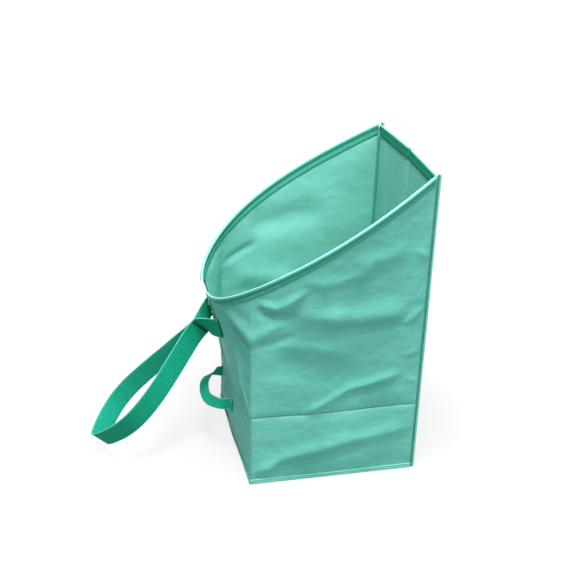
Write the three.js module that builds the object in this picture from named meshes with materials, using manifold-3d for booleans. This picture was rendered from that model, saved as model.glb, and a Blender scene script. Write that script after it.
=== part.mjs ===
// Dustpan leaf bag: a tall scoop wall with a straight lip at the back, two sloping side walls, a short
// rounded front wall, a sprung hoop round the mouth, a long carrying strap and a small tipping handle.
// Millimetres. X runs from the short front wall to the tall scoop wall, Z is up, and the origin is the
// centre of the base's underside.
import * as THREE from "three";
import { mergeVertices } from "three/addons/utils/BufferGeometryUtils.js";
import Module from "manifold-3d";

const wasm = await Module();
wasm.setup();

// Body of the bag
const baseLength = 400;
const baseWidth = 405;
const lipHeight = 750;
const fabricThick = 1;
const creaseHeight = 180;
const frontBelly = 24;
const sideBelly = 10;
const leanPowerShare = 2;

// Mouth: the hoop falls from the lip to the crown, swells sideways and droops at the crown
const mouthReach = 478;
const mouthFallShare = 0.6;
const crownDroop = 35;
const mouthSwell = 170;
const mouthSwellLoss = 95;
const mouthRoundShare = 0.8;
const droopPowerShare = 6;
const bareCrown = 80;

// Hoop, its sleeves and its end caps
const hoopRadius = 2.5;
const capWall = 0.8;
const capCover = 14;
const capEnd = 3;
const sleeveThick = 1;
const hoopEndSpace = 12;
const sleeveEndSpace = 6;

// Seams, bindings and the band inside the lip
const seamDepth = 9;
const seamThick = 2.4;
const seamTab = 5;
const bindingHeight = 13;
const bindingThick = 1.2;
const lipBandHeight = 25;
const lipBandThick = 1.6;
const lipBandEndSpace = 9;

// Long carrying strap
const strapWidth = 50;
const strapThick = 2.5;
const strapSpacing = 130;
const strapDrop = 78;
const strapPatchLength = 48;
const throatOut = 35.5;
const throatDrop = 25;
const throatLap = 12;
const strandLap = 3;
const strandReach = 42;
const strandLift = 2;
const strandBow = 14;
const twistPowerShare = 2;
const loopLength = 380;
const loopHalfGap = 76;
const loopFallAngle = THREE.MathUtils.degToRad(49);
const tackWidth = 4;
const tackLength = 46;
const tackThick = 1;

// Small tipping handle
const tapeWidth = 30;
const tapeThick = 2;
const tapeSpacing = 170;
const tapeOffset = 27;
const tapeDrop = 43;
const tapeReach = 62;
const archRoundShare = 0.8;

// Clearances
const seamGap = 0.3;
const runningGap = 0.3;
const foldGap = 0.6;
const overrun = 4;

// Fineness of the curved solids
const curveDivisions = 1200;
const searchSteps = 40;
const hoopSides = 10;
const hoopSteps = 64;
const capSteps = 4;
const sidePanelSteps = 16;
const frontPanelSteps = 20;
const bindingLevels = 2;
const pillowLevels = 7;
const upperLevels = 9;
const patchSteps = 5;
const bandSteps = 24;
const loopSteps = 40;
const archPoints = 12;
const slopeShare = 0.002;
const archEndShare = 0.08;
const roundingShares = [0.98, 0.8, 0.45];

const halfLength = baseLength / 2;
const halfWidth = baseWidth / 2;
const capBore = hoopRadius + runningGap;
const capRadius = capBore + capWall;
const sleeveBore = capRadius + runningGap;
const sleeveRadius = sleeveBore + sleeveThick;
const zAxis = new THREE.Vector3(0, 0, 1);

const group = new THREE.Group();

function addPart(name, geometry, material) {
  const mesh = new THREE.Mesh(geometry, material);
  mesh.name = name;
  group.add(mesh);
}

function wovenFabric() {
  return new THREE.MeshStandardMaterial({ color: 0x68b9aa, roughness: 0.55, metalness: 0 });
}

function bindingFabric() {
  return new THREE.MeshStandardMaterial({ color: 0x96ebdc, roughness: 0.55, metalness: 0 });
}

function rimFabric() {
  return new THREE.MeshStandardMaterial({ color: 0xa5f0e2, roughness: 0.5, metalness: 0 });
}

function greenWebbing() {
  return new THREE.MeshStandardMaterial({ color: 0x18a582, roughness: 0.75, metalness: 0 });
}

function glassFibre() {
  return new THREE.MeshStandardMaterial({ color: 0xf4f4f0, roughness: 0.35, metalness: 0 });
}

function darkThread() {
  return new THREE.MeshStandardMaterial({ color: 0x0b6a4c, roughness: 0.9, metalness: 0 });
}

// A closed solid through rings that all have the same even number of points.
function loft(rings) {
  const count = rings[0].length;
  const last = (rings.length - 1) * count;
  const faces = [];
  const quad = (a, b, c, d) => faces.push(a, b, c, a, c, d);
  for (let i = 0; i + 1 < rings.length; i += 1) {
    for (let j = 0; j < count; j += 1) {
      const next = (j + 1) % count;
      quad(i * count + j, i * count + next, (i + 1) * count + next, (i + 1) * count + j);
    }
  }
  for (let j = 0; j + 1 < count / 2; j += 1) {
    quad(count - 1 - j, count - 2 - j, j + 1, j);
    quad(last + j, last + j + 1, last + count - 2 - j, last + count - 1 - j);
  }
  const points = rings.flat();
  if (signedVolume(points, faces) < 0) {
    faces.reverse();
  }
  const geometry = new THREE.BufferGeometry();
  geometry.setAttribute("position", new THREE.Float32BufferAttribute(points.flatMap((p) => p.toArray()), 3));
  geometry.setIndex(faces);
  geometry.computeVertexNormals();
  return geometry;
}

function signedVolume(points, faces) {
  let total = 0;
  const cross = new THREE.Vector3();
  for (let i = 0; i < faces.length; i += 3) {
    cross.crossVectors(points[faces[i + 1]], points[faces[i + 2]]);
    total += points[faces[i]].dot(cross);
  }
  return total;
}

function toManifold(geometry) {
  const bare = geometry.clone();
  bare.deleteAttribute("normal");
  bare.deleteAttribute("uv");
  const merged = mergeVertices(bare);
  return new wasm.Manifold(
    new wasm.Mesh({
      numProp: 3,
      vertProperties: new Float32Array(merged.attributes.position.array),
      triVerts: new Uint32Array(merged.index.array),
    }),
  );
}

function cutAway(solid, tool) {
  const mesh = toManifold(solid).subtract(toManifold(tool)).getMesh();
  const geometry = new THREE.BufferGeometry();
  geometry.setAttribute("position", new THREE.Float32BufferAttribute(mesh.vertProperties, 3));
  geometry.setIndex(new THREE.Uint32BufferAttribute(mesh.triVerts, 1));
  geometry.computeVertexNormals();
  return geometry;
}

function boxBetween(low, high) {
  const size = high.clone().sub(low);
  const geometry = new THREE.BoxGeometry(size.x, size.y, size.z);
  const centre = low.clone().add(high).multiplyScalar(0.5);
  return geometry.translate(centre.x, centre.y, centre.z);
}

function spread(start, end, steps) {
  return Array.from({ length: steps + 1 }, (_, i) => start + ((end - start) * i) / steps);
}

// The hoop's centre line, from the right lip corner round the crown to the left lip corner.
class MouthCurve extends THREE.Curve {
  constructor() {
    super();
    this.arcLengthDivisions = curveDivisions;
  }
  getPoint(u, target = new THREE.Vector3()) {
    const side = u < 0.5 ? -1 : 1;
    const turn = Math.PI * Math.min(u, 1 - u);
    const along = Math.abs(Math.sin(turn)) ** mouthRoundShare;
    const across = Math.max(Math.cos(turn), 0) ** mouthRoundShare;
    const wide = halfWidth + mouthSwell * along - mouthSwellLoss * along ** 2;
    const fall = mouthFallShare * mouthReach * along + crownDroop * along ** droopPowerShare;
    return target.set(halfLength - mouthReach * along, side * wide * across, lipHeight - fall);
  }
}

const mouth = new MouthCurve();
const mouthLength = mouth.getLength();

// Place and directions on the hoop: side lies level, up lies square to the hoop.
function hoopFrame(share) {
  const at = THREE.MathUtils.clamp(share, 0, 1);
  const tangent = mouth.getTangentAt(at);
  const side = new THREE.Vector3().crossVectors(tangent, zAxis).normalize();
  const up = new THREE.Vector3().crossVectors(side, tangent).normalize();
  return { point: mouth.getPointAt(at), tangent, side, up };
}

function hoopRing(frame, radius, shift) {
  return Array.from({ length: hoopSides }, (_, i) => {
    const turn = (2 * Math.PI * i) / hoopSides;
    return frame.point
      .clone()
      .addScaledVector(frame.tangent, shift)
      .addScaledVector(frame.side, radius * Math.cos(turn))
      .addScaledVector(frame.up, radius * Math.sin(turn));
  });
}

function hoopTube(start, end, radius, steps, reach) {
  const frames = spread(start, end, steps).map(hoopFrame);
  const rings = frames.map((frame) => hoopRing(frame, radius, 0));
  if (reach) {
    rings.unshift(hoopRing(frames[0], radius, -reach));
    rings.push(hoopRing(frames[frames.length - 1], radius, reach));
  }
  return loft(rings);
}

// Each place on the rim stands above its own place on the foot of the wrap.
const rimPerSide = Math.hypot(1, mouthFallShare) * baseLength;
const rimTotal = 2 * rimPerSide + baseWidth;
const cornerShare = rimPerSide / rimTotal;

function footPoint(share) {
  const mirrored = share > 0.5;
  const along = Math.min(share, 1 - share);
  const foot = new THREE.Vector3();
  if (along <= cornerShare) {
    foot.set(halfLength - (baseLength * along) / cornerShare, -halfWidth, 0);
  } else {
    foot.set(-halfLength, (halfWidth * (along - 0.5)) / (0.5 - cornerShare), 0);
  }
  if (mirrored) {
    foot.y = -foot.y;
  }
  return foot;
}

function wallTop(share) {
  const frame = hoopFrame(share);
  const level = Math.hypot(frame.tangent.x, frame.tangent.y);
  return frame.point.addScaledVector(zAxis, -(sleeveRadius + seamGap) / level);
}

// The wrap's outer face; share runs round the rim, and rise runs from the foot to the rim.
function wallPoint(share, rise) {
  const foot = footPoint(share);
  const top = wallTop(share);
  const lean = rise ** leanPowerShare;
  const height = top.z * rise;
  const point = new THREE.Vector3().lerpVectors(foot, top, lean).setZ(height);
  const pillow = Math.sin(Math.PI * Math.min(height / creaseHeight, 1));
  if (Math.abs(foot.y) < halfWidth) {
    point.x -= frontBelly * pillow * Math.cos((Math.PI * foot.y) / baseWidth) ** 2;
  } else {
    point.y += Math.sign(foot.y) * sideBelly * pillow * Math.cos((Math.PI * foot.x) / baseLength) ** 2;
  }
  return point;
}

// Inward normal of the wrap, from steps that stay between the two given shares.
function wallNormal(share, rise, low, high) {
  const before = Math.max(share - slopeShare, low);
  const after = Math.min(share + slopeShare, high);
  const under = Math.max(rise - slopeShare, 0);
  const over = Math.min(rise + slopeShare, 1);
  const along = wallPoint(after, rise).sub(wallPoint(before, rise));
  const climb = wallPoint(share, over).sub(wallPoint(share, under));
  return along.cross(climb).normalize();
}

// A sheet that follows the wrap between two offsets, inwards positive; heights lists its levels at a share.
function wallSheet(low, high, steps, heights, outer, inner) {
  const rings = spread(low, high, steps).map((share) => {
    const whole = wallTop(share).z;
    const outerSide = [];
    const innerSide = [];
    for (const height of heights(whole)) {
      const rise = height / whole;
      const point = wallPoint(share, rise);
      const normal = wallNormal(share, rise, low, high);
      normal.z = rise > 0 && rise < 1 ? normal.z : 0;
      outerSide.push(point.clone().addScaledVector(normal, outer));
      innerSide.unshift(point.clone().addScaledVector(normal, inner));
    }
    return outerSide.concat(innerSide);
  });
  return loft(rings);
}

// Share of the wrap whose outer face has the given Y at the given height.
function shareAt(y, height) {
  let low = cornerShare;
  let high = 1 - cornerShare;
  for (let i = 0; i < searchSteps; i += 1) {
    const middle = (low + high) / 2;
    const rise = Math.min(height / wallTop(middle).z, 1);
    if (wallPoint(middle, rise).y < y) {
      low = middle;
    } else {
      high = middle;
    }
  }
  return low;
}

function frontWallPoint(y, height) {
  const share = shareAt(y, height);
  return wallPoint(share, height / wallTop(share).z);
}

const fabricLap = fabricThick + seamGap;
const cornerLap = fabricLap / rimTotal;
const bindingHeights = () => spread(0, bindingHeight, bindingLevels);
const wallHeights = (whole) => [
  ...bindingHeights(),
  ...spread(bindingHeight, creaseHeight, pillowLevels).slice(1),
  ...spread(creaseHeight, whole, upperLevels).slice(1),
];

function addWrap() {
  const sides = [
    ["side_panel_right", 0, cornerShare],
    ["side_panel_left", 1 - cornerShare, 1],
  ];
  for (const [name, low, high] of sides) {
    addPart(name, wallSheet(low, high, sidePanelSteps, wallHeights, 0, fabricThick), wovenFabric());
  }
  const low = cornerShare + cornerLap;
  const front = wallSheet(low, 1 - low, frontPanelSteps, wallHeights, 0, fabricThick);
  addPart("front_panel", front, wovenFabric());
}

function addScoopAndBase() {
  const scoop = boxBetween(
    new THREE.Vector3(halfLength - fabricThick, -halfWidth + fabricLap, 0),
    new THREE.Vector3(halfLength, halfWidth - fabricLap, lipHeight),
  );
  addPart("scoop_panel", scoop, wovenFabric());
  const base = boxBetween(
    new THREE.Vector3(-halfLength + fabricLap, -halfWidth + fabricLap, 0),
    new THREE.Vector3(halfLength - fabricLap, halfWidth - fabricLap, fabricThick),
  );
  addPart("base_panel", base, wovenFabric());
}

function addHoopRod() {
  const start = hoopEndSpace / mouthLength;
  addPart("hoop_rod", hoopTube(start, 1 - start, hoopRadius, hoopSteps, 0), glassFibre());
}

function addHoopSleeves() {
  const start = sleeveEndSpace / mouthLength;
  const stop = 0.5 - bareCrown / 2 / mouthLength;
  const halves = [
    ["right", start, stop],
    ["left", 1 - stop, 1 - start],
  ];
  for (const [side, low, high] of halves) {
    const tube = hoopTube(low, high, sleeveRadius, hoopSteps / 2, 0);
    const bore = hoopTube(low, high, sleeveBore, hoopSteps / 2, overrun);
    addPart("hoop_sleeve_" + side, cutAway(tube, bore), rimFabric());
  }
}

// A blind cap over each end of the rod, whose bore stops just short of the cap's closed end.
function addHoopCaps() {
  const closed = (hoopEndSpace - capEnd) / mouthLength;
  const floor = (hoopEndSpace - runningGap) / mouthLength;
  const mouthEnd = (hoopEndSpace + capCover) / mouthLength;
  const past = mouthEnd + overrun / mouthLength;
  const caps = [
    ["right", closed, mouthEnd, floor, past],
    ["left", 1 - mouthEnd, 1 - closed, 1 - past, 1 - floor],
  ];
  for (const [side, low, high, boreLow, boreHigh] of caps) {
    const cap = hoopTube(low, high, capRadius, capSteps, 0);
    const bore = hoopTube(boreLow, boreHigh, capBore, capSteps, 0);
    addPart("hoop_cap_" + side, cutAway(cap, bore), glassFibre());
  }
}

function addSeams() {
  const seamStart = halfLength + seamGap;
  for (const [side, sign] of [["right", -1], ["left", 1]]) {
    const outer = sign * halfWidth;
    const inner = sign * (halfWidth - seamThick);
    const low = new THREE.Vector3(seamStart, Math.min(outer, inner), 0);
    const high = new THREE.Vector3(seamStart + seamDepth, Math.max(outer, inner), lipHeight + seamTab);
    addPart("back_seam_" + side, boxBetween(low, high), bindingFabric());
  }
}

function addLipBand() {
  const lipInner = halfLength - fabricThick - seamGap;
  const lipBand = boxBetween(
    new THREE.Vector3(lipInner - lipBandThick, -halfWidth + lipBandEndSpace, lipHeight - lipBandHeight),
    new THREE.Vector3(lipInner, halfWidth - lipBandEndSpace, lipHeight),
  );
  addPart("lip_band", lipBand, greenWebbing());
}

function addBindings() {
  const near = -seamGap;
  const far = -seamGap - bindingThick;
  const strips = [
    ["base_binding_right", 0, cornerShare, sidePanelSteps],
    ["base_binding_left", 1 - cornerShare, 1, sidePanelSteps],
    ["base_binding_front", cornerShare + cornerLap, 1 - cornerShare - cornerLap, frontPanelSteps],
  ];
  for (const [name, low, high, steps] of strips) {
    addPart(name, wallSheet(low, high, steps, bindingHeights, near, far), bindingFabric());
  }
  const inset = halfWidth - seamThick - seamGap;
  const back = boxBetween(
    new THREE.Vector3(halfLength + seamGap, -inset, 0),
    new THREE.Vector3(halfLength + seamGap + bindingThick, inset, bindingHeight),
  );
  addPart("base_binding_back", back, bindingFabric());
}

// One square section of a band, across its width and its thickness.
function bandRing(point, tangent, across, width, thick) {
  const wide = across.clone().addScaledVector(tangent, -across.dot(tangent)).normalize();
  const flat = new THREE.Vector3().crossVectors(tangent, wide);
  const corners = [[1, 1], [-1, 1], [-1, -1], [1, -1]];
  return corners.map(([w, t]) =>
    point
      .clone()
      .addScaledVector(wide, (w * width) / 2)
      .addScaledVector(flat, (t * thick) / 2),
  );
}

// The rounded end of a band, which turns against its seat round an axis along the band's width.
function roundedEnd(point, tangent, across, width, thick) {
  return roundingShares.map((share) => {
    const back = point.clone().addScaledVector(tangent, (-share * thick) / 2);
    return bandRing(back, tangent, across, width, thick * Math.sqrt(1 - share ** 2));
  });
}

// The strap's two ends are sewn flat on the front wall and fold back over themselves. The two strands
// run together at the throat, where the hand loop's layers are held between them.
const foldY = strapSpacing / 2;
const strapHeight = mouth.getPointAt(0.5).z - strapDrop;
const strapLow = strapHeight - strapWidth / 2;
const strapHigh = strapHeight + strapWidth / 2;
const throat = frontWallPoint(0, strapHeight).add(new THREE.Vector3(-throatOut, 0, -throatDrop));
const loopAlong = new THREE.Vector3(-Math.cos(loopFallAngle), 0, -Math.sin(loopFallAngle));
const loopAcross = new THREE.Vector3(Math.sin(loopFallAngle), 0, -Math.cos(loopFallAngle));
const layerStep = strapThick + runningGap;
const innerLayer = layerStep / 2;
const outerLayer = innerLayer + layerStep;

function addStrapPatches() {
  const heights = () => spread(strapLow, strapHigh, patchSteps);
  for (const [side, sign] of [["right", -1], ["left", 1]]) {
    const edges = [sign * (foldY - strapPatchLength), sign * foldY].map((y) => shareAt(y, strapHeight));
    const low = Math.min(...edges);
    const high = Math.max(...edges);
    const patch = wallSheet(low, high, patchSteps, heights, -seamGap, -seamGap - strapThick);
    addPart("strap_patch_" + side, patch, greenWebbing());
  }
}

// Centre line of a strand, from its fold beside the patch to the throat.
function strandPath(sign) {
  const seat = frontWallPoint(sign * foldY, strapHeight);
  const inward = frontWallPoint(sign * (foldY - strapPatchLength), strapHeight).sub(seat).normalize();
  const outward = new THREE.Vector3(-Math.abs(inward.y), inward.x * Math.sign(inward.y), 0).normalize();
  const start = seat.addScaledVector(outward, seamGap + strapThick + foldGap + strapThick / 2);
  const join = throat.clone().addScaledVector(loopAlong, -throatLap).setY(sign * outerLayer);
  return new THREE.CubicBezierCurve3(
    start,
    start.clone().addScaledVector(inward, strandReach).addScaledVector(outward, strandLift),
    join.clone().addScaledVector(loopAlong, -strandBow),
    join,
  );
}

function addStrands() {
  for (const [side, sign] of [["right", -1], ["left", 1]]) {
    const lean = frontWallPoint(sign * foldY, strapLow).sub(frontWallPoint(sign * foldY, strapHigh));
    const down = lean.setY(0).normalize();
    const path = strandPath(sign);
    const rings = spread(0, 1, bandSteps).map((share) => {
      const across = down.clone().lerp(loopAcross, share ** twistPowerShare).normalize();
      return bandRing(path.getPoint(share), path.getTangent(share), across, strapWidth, strapThick);
    });
    const lapEnd = throat.clone().addScaledVector(loopAlong, strandLap).setY(sign * outerLayer);
    rings.push(bandRing(lapEnd, loopAlong, loopAcross, strapWidth, strapThick));
    addPart("strap_strand_" + side, loft(rings), greenWebbing());
  }
}

// A line of dense stitching across each outer layer at the throat.
function addThroatTacks() {
  for (const [side, sign] of [["right", -1], ["left", 1]]) {
    const face = sign * (outerLayer + strapThick / 2 + seamGap + tackThick / 2);
    const ends = [-tackWidth / 2, tackWidth / 2].map((along) =>
      throat.clone().addScaledVector(loopAlong, along).setY(face),
    );
    const rings = ends.map((end) => bandRing(end, loopAlong, loopAcross, tackLength, tackThick));
    addPart("throat_tack_" + side, loft(rings), darkThread());
  }
}

// The hand loop's outline from the throat to the tip: shares of its length and of its half gap.
const loopShares = [
  [-0.03, 0],
  [0.08, 0],
  [0.16, 0.06],
  [0.28, 0.28],
  [0.42, 0.66],
  [0.56, 0.95],
  [0.68, 1],
  [0.8, 0.87],
  [0.91, 0.56],
  [0.98, 0.2],
];

function addHandLoop() {
  const place = ([along, gap], sign) =>
    throat
      .clone()
      .addScaledVector(loopAlong, loopLength * along)
      .setY(sign * (innerLayer + loopHalfGap * gap));
  const tip = throat.clone().addScaledVector(loopAlong, loopLength);
  const points = loopShares.map((share) => place(share, -1));
  points.push(tip);
  points.push(...loopShares.map((share) => place(share, 1)).reverse());
  const path = new THREE.CatmullRomCurve3(points, false, "centripetal");
  const rings = spread(0, 1, loopSteps).map((share) =>
    bandRing(path.getPointAt(share), path.getTangentAt(share), loopAcross, strapWidth, strapThick),
  );
  addPart("hand_loop", loft(rings), greenWebbing());
}

const tapeEnds = [-1, 1].map((sign) => tapeOffset + (sign * tapeSpacing) / 2);
const tapeHeight = creaseHeight - tapeDrop;

function addTapePatches() {
  for (const [side, y] of [["right", tapeEnds[0]], ["left", tapeEnds[1]]]) {
    const low = shareAt(y - tapeWidth / 2, tapeHeight);
    const high = shareAt(y + tapeWidth / 2, tapeHeight);
    const heights = () => spread(tapeHeight - tapeWidth / 2, tapeHeight + tapeWidth / 2, patchSteps);
    const patch = wallSheet(low, high, patchSteps, heights, -seamGap, -seamGap - tapeThick);
    addPart("tape_patch_" + side, patch, greenWebbing());
  }
}

// The level arch of the tipping handle, turned on the line through its two seats.
const tapeSeats = tapeEnds.map((y) => {
  const seat = [y - tapeWidth / 2, y, y + tapeWidth / 2].map((at) => frontWallPoint(at, tapeHeight).x);
  const clear = seamGap + tapeThick + runningGap + tapeThick;
  return new THREE.Vector3(Math.min(...seat) - clear, y, tapeHeight);
});

function addTapeLoop() {
  const middle = tapeSeats[0].clone().lerp(tapeSeats[1], 0.5);
  const half = tapeSeats[1].clone().sub(middle);
  const out = new THREE.Vector3(-half.y, half.x, 0).normalize();
  const reach = tapeReach - tapeThick;
  const place = (turn) =>
    middle
      .clone()
      .addScaledVector(half, Math.sin(turn))
      .addScaledVector(out, reach * Math.cos(turn) ** archRoundShare);
  const points = spread(-Math.PI / 2, Math.PI / 2, archPoints).map(place);
  const path = new THREE.CatmullRomCurve3(points, false, "centripetal");
  const rings = [];
  const flatRing = (share) => {
    const tangent = path.getTangentAt(share);
    const across = new THREE.Vector3().crossVectors(zAxis, tangent);
    return bandRing(path.getPointAt(share), tangent, across, tapeWidth, tapeThick);
  };
  const along = half.clone().normalize();
  rings.push(...roundedEnd(path.getPoint(0), out, along, tapeWidth, tapeThick));
  rings.push(bandRing(path.getPoint(0), out, along, tapeWidth, tapeThick));
  for (const share of spread(archEndShare, 1 - archEndShare, loopSteps / 2)) {
    rings.push(flatRing(share));
  }
  const inward = out.clone().negate();
  const farEnd = path.getPoint(1);
  rings.push(bandRing(farEnd, inward, along.clone().negate(), tapeWidth, tapeThick));
  for (const ring of roundedEnd(farEnd, out, along, tapeWidth, tapeThick).reverse()) {
    rings.push([ring[1], ring[0], ring[3], ring[2]]);
  }
  addPart("tape_loop", loft(rings), greenWebbing());
}

addWrap();
addScoopAndBase();
addHoopRod();
addHoopSleeves();
addHoopCaps();
addSeams();
addLipBand();
addBindings();
addStrapPatches();
addStrands();
addThroatTacks();
addHandLoop();
addTapePatches();
addTapeLoop();

export default group;
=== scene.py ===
import math
from functools import lru_cache

import bmesh
import bpy
import numpy as np
from mathutils import Matrix, Vector, noise


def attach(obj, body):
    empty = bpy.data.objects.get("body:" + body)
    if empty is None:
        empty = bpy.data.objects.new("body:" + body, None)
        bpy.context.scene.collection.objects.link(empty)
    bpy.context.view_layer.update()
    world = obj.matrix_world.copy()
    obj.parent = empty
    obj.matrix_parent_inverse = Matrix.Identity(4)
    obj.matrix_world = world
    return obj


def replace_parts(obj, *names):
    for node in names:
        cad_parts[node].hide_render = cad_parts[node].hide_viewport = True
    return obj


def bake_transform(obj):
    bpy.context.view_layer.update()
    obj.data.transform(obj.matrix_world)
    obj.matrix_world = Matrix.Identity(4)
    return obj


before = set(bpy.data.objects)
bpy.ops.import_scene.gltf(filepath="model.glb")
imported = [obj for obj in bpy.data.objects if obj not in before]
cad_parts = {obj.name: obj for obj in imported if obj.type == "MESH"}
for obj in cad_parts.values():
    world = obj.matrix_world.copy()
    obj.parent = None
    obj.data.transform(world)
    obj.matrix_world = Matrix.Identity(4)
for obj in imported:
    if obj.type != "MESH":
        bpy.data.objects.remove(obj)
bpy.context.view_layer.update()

upward = Vector((0, 0, 1))
sideward = Vector((0, 1, 0))
backward = Vector((1, 0, 0))


def toLinear(red, green, blue):
    parts = []
    for part in (red, green, blue):
        value = part / 255
        parts.append(value / 12.92 if value <= 0.04045 else ((value + 0.055) / 1.055) ** 2.4)
    return (*parts, 1.0)


def linearColours(s, *names):
    return [toLinear(*s[name]) for name in names]


def darker(colour, share):
    return (*(share * part for part in colour[:3]), 1.0)


def smoothStep(value):
    value = min(max(value, 0.0), 1.0)
    return value * value * (3 - 2 * value)


def noiseAt(x, y, z):
    return noise.noise(Vector((x, y, z)))


def evenly(start, stop, count):
    # the middles of that many equal parts
    return [start + (stop - start) * (k + 0.5) / count for k in range(count)]


def turnOnto(*axes):
    return Matrix(axes).transposed().to_4x4()


def addObject(name, data):
    thing = bpy.data.objects.new(name, data)
    bpy.context.scene.collection.objects.link(thing)
    return thing


cameraSettings = {
    "azimuth": -13.918,
    "elevation": 24.799,
    "roll": 2.018,
    "distance": 2.5168,
    "lens": 65.75,
    "sensor": 36,
    "target": (-0.0778, 0.0, 0.4159),
}


def makeCamera(s):
    azimuth, elevation, roll = (math.radians(s[k]) for k in ("azimuth", "elevation", "roll"))
    back = Vector((
        math.sin(azimuth) * math.cos(elevation),
        -math.cos(azimuth) * math.cos(elevation),
        math.sin(elevation),
    ))
    right = Vector((math.cos(azimuth), math.sin(azimuth), 0))
    up = back.cross(right)
    tiltedRight = right * math.cos(roll) + up * math.sin(roll)
    tiltedUp = up * math.cos(roll) - right * math.sin(roll)
    data = bpy.data.cameras.new("camera")
    data.sensor_width = s["sensor"]
    data.lens = s["lens"]
    camera = addObject("camera", data)
    place = Matrix.Translation(Vector(s["target"]) + back * s["distance"])
    camera.matrix_world = place @ turnOnto(tiltedRight, tiltedUp, back)
    bpy.context.scene.camera = camera


makeCamera(cameraSettings)
print("camera placed")

bag = {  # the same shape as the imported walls, in metres
    "length": 0.4,
    "width": 0.405,
    "lipHeight": 0.75,
    "cloth": 0.001,
    "crease": 0.18,
    "frontBelly": 0.024,
    "sideBelly": 0.01,
    "reach": 0.478,
    "fallShare": 0.6,
    "droop": 0.035,
    "droopPower": 6,
    "swell": 0.17,
    "swellLoss": 0.095,
    "roundShare": 0.8,
    "bareCrown": 0.08,
    "sleeveRadius": 0.0049,
    "gap": 0.0003,
}
halfLength = bag["length"] / 2
halfWidth = bag["width"] / 2


def mouthAt(u):
    side = -1 if u < 0.5 else 1
    turn = math.pi * min(u, 1 - u)
    along = abs(math.sin(turn)) ** bag["roundShare"]
    across = max(math.cos(turn), 0) ** bag["roundShare"]
    wide = halfWidth + bag["swell"] * along - bag["swellLoss"] * along ** 2
    fall = bag["fallShare"] * bag["reach"] * along + bag["droop"] * along ** bag["droopPower"]
    return (halfLength - bag["reach"] * along, side * wide * across, bag["lipHeight"] - fall)


def runAlong(table):
    # the length run at each point of a table
    steps = np.linalg.norm(np.diff(table, axis=0), axis=1)
    return np.concatenate([[0], np.cumsum(steps)])


def pointOn(table, runs, run):
    return Vector([float(np.interp(run, runs, table[:, k])) for k in range(3)])


mouthTable = np.array([mouthAt(u) for u in np.linspace(0, 1, 1201)])
mouthRun = runAlong(mouthTable)
mouthLength = float(mouthRun[-1])


@lru_cache(maxsize=None)
def mouthPoint(share):
    return pointOn(mouthTable, mouthRun, min(max(share, 0.0), 1.0) * mouthLength)


def mouthTangent(share):
    step = 0.003
    return (mouthPoint(share + step) - mouthPoint(share - step)).normalized()


def aroundMouth(share, turn, radius):
    # a point beside the hoop's line: no turn is outward, a quarter turn is its upper side
    tangent = mouthTangent(share)
    outward = Vector((-tangent.y, tangent.x, 0)).normalized()
    lift = tangent.cross(outward).normalized()
    return mouthPoint(share) + (outward * math.cos(turn) + lift * math.sin(turn)) * radius


rimPerSide = math.hypot(1, bag["fallShare"]) * bag["length"]
rimTotal = 2 * rimPerSide + bag["width"]
cornerShare = rimPerSide / rimTotal


@lru_cache(maxsize=None)
def footPoint(share):
    along = min(share, 1 - share)
    if along <= cornerShare + 1e-9:
        foot = Vector((halfLength - bag["length"] * along / cornerShare, -halfWidth, 0))
    else:
        foot = Vector((-halfLength, halfWidth * (along - 0.5) / (0.5 - cornerShare), 0))
    if share > 0.5:
        foot.y = -foot.y
    return foot


@lru_cache(maxsize=None)
def wallTop(share):
    tangent = mouthTangent(share)
    level = math.hypot(tangent.x, tangent.y)
    return mouthPoint(share) - upward * (bag["sleeveRadius"] + bag["gap"]) / level


def plainWall(share, rise):
    foot, top = footPoint(share), wallTop(share)
    height = top.z * rise
    point = foot.lerp(top, rise ** 2)
    point.z = height
    pillow = math.sin(math.pi * min(height / bag["crease"], 1))
    if abs(foot.y) < halfWidth - 1e-6:
        point.x -= bag["frontBelly"] * pillow * math.cos(math.pi * foot.y / bag["width"]) ** 2
    else:
        swell = bag["sideBelly"] * pillow * math.cos(math.pi * foot.x / bag["length"]) ** 2
        point.y += math.copysign(swell, foot.y)
    return point


def wallOutward(share, rise):
    step = 0.004
    along = plainWall(min(share + step, 1), rise) - plainWall(max(share - step, 0), rise)
    climb = plainWall(share, min(rise + step, 1)) - plainWall(share, max(rise - step, 0))
    return climb.cross(along).normalized()


def frontWall(y, height, away=0.0):
    # a point off the front wall's outer face at a given Y and height, and its outward direction
    low, high = cornerShare, 1 - cornerShare
    for _ in range(30):
        middle = (low + high) / 2
        if plainWall(middle, min(height / wallTop(middle).z, 1)).y < y:
            low = middle
        else:
            high = middle
    rise = height / wallTop(low).z
    outward = wallOutward(low, rise)
    return plainWall(low, rise) + outward * away, outward


def wallShares(side, front):
    # columns along the three walls, with one on each pressed corner
    shares = np.linspace(0, cornerShare, side + 1).tolist()
    shares += np.linspace(cornerShare, 1 - cornerShare, front + 1).tolist()[1:]
    return shares + np.linspace(1 - cornerShare, 1, side + 1).tolist()[1:]


def finishPiece(name, bm, material, slot, body="bag"):
    mesh = bpy.data.meshes.new(name)
    bm.to_mesh(mesh)
    bm.free()
    mesh.polygons.foreach_set("use_smooth", [True] * len(mesh.polygons))
    mesh.materials.append(material)
    piece = addObject(name, mesh)
    if body:
        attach(piece, body)
    return piece


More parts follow.
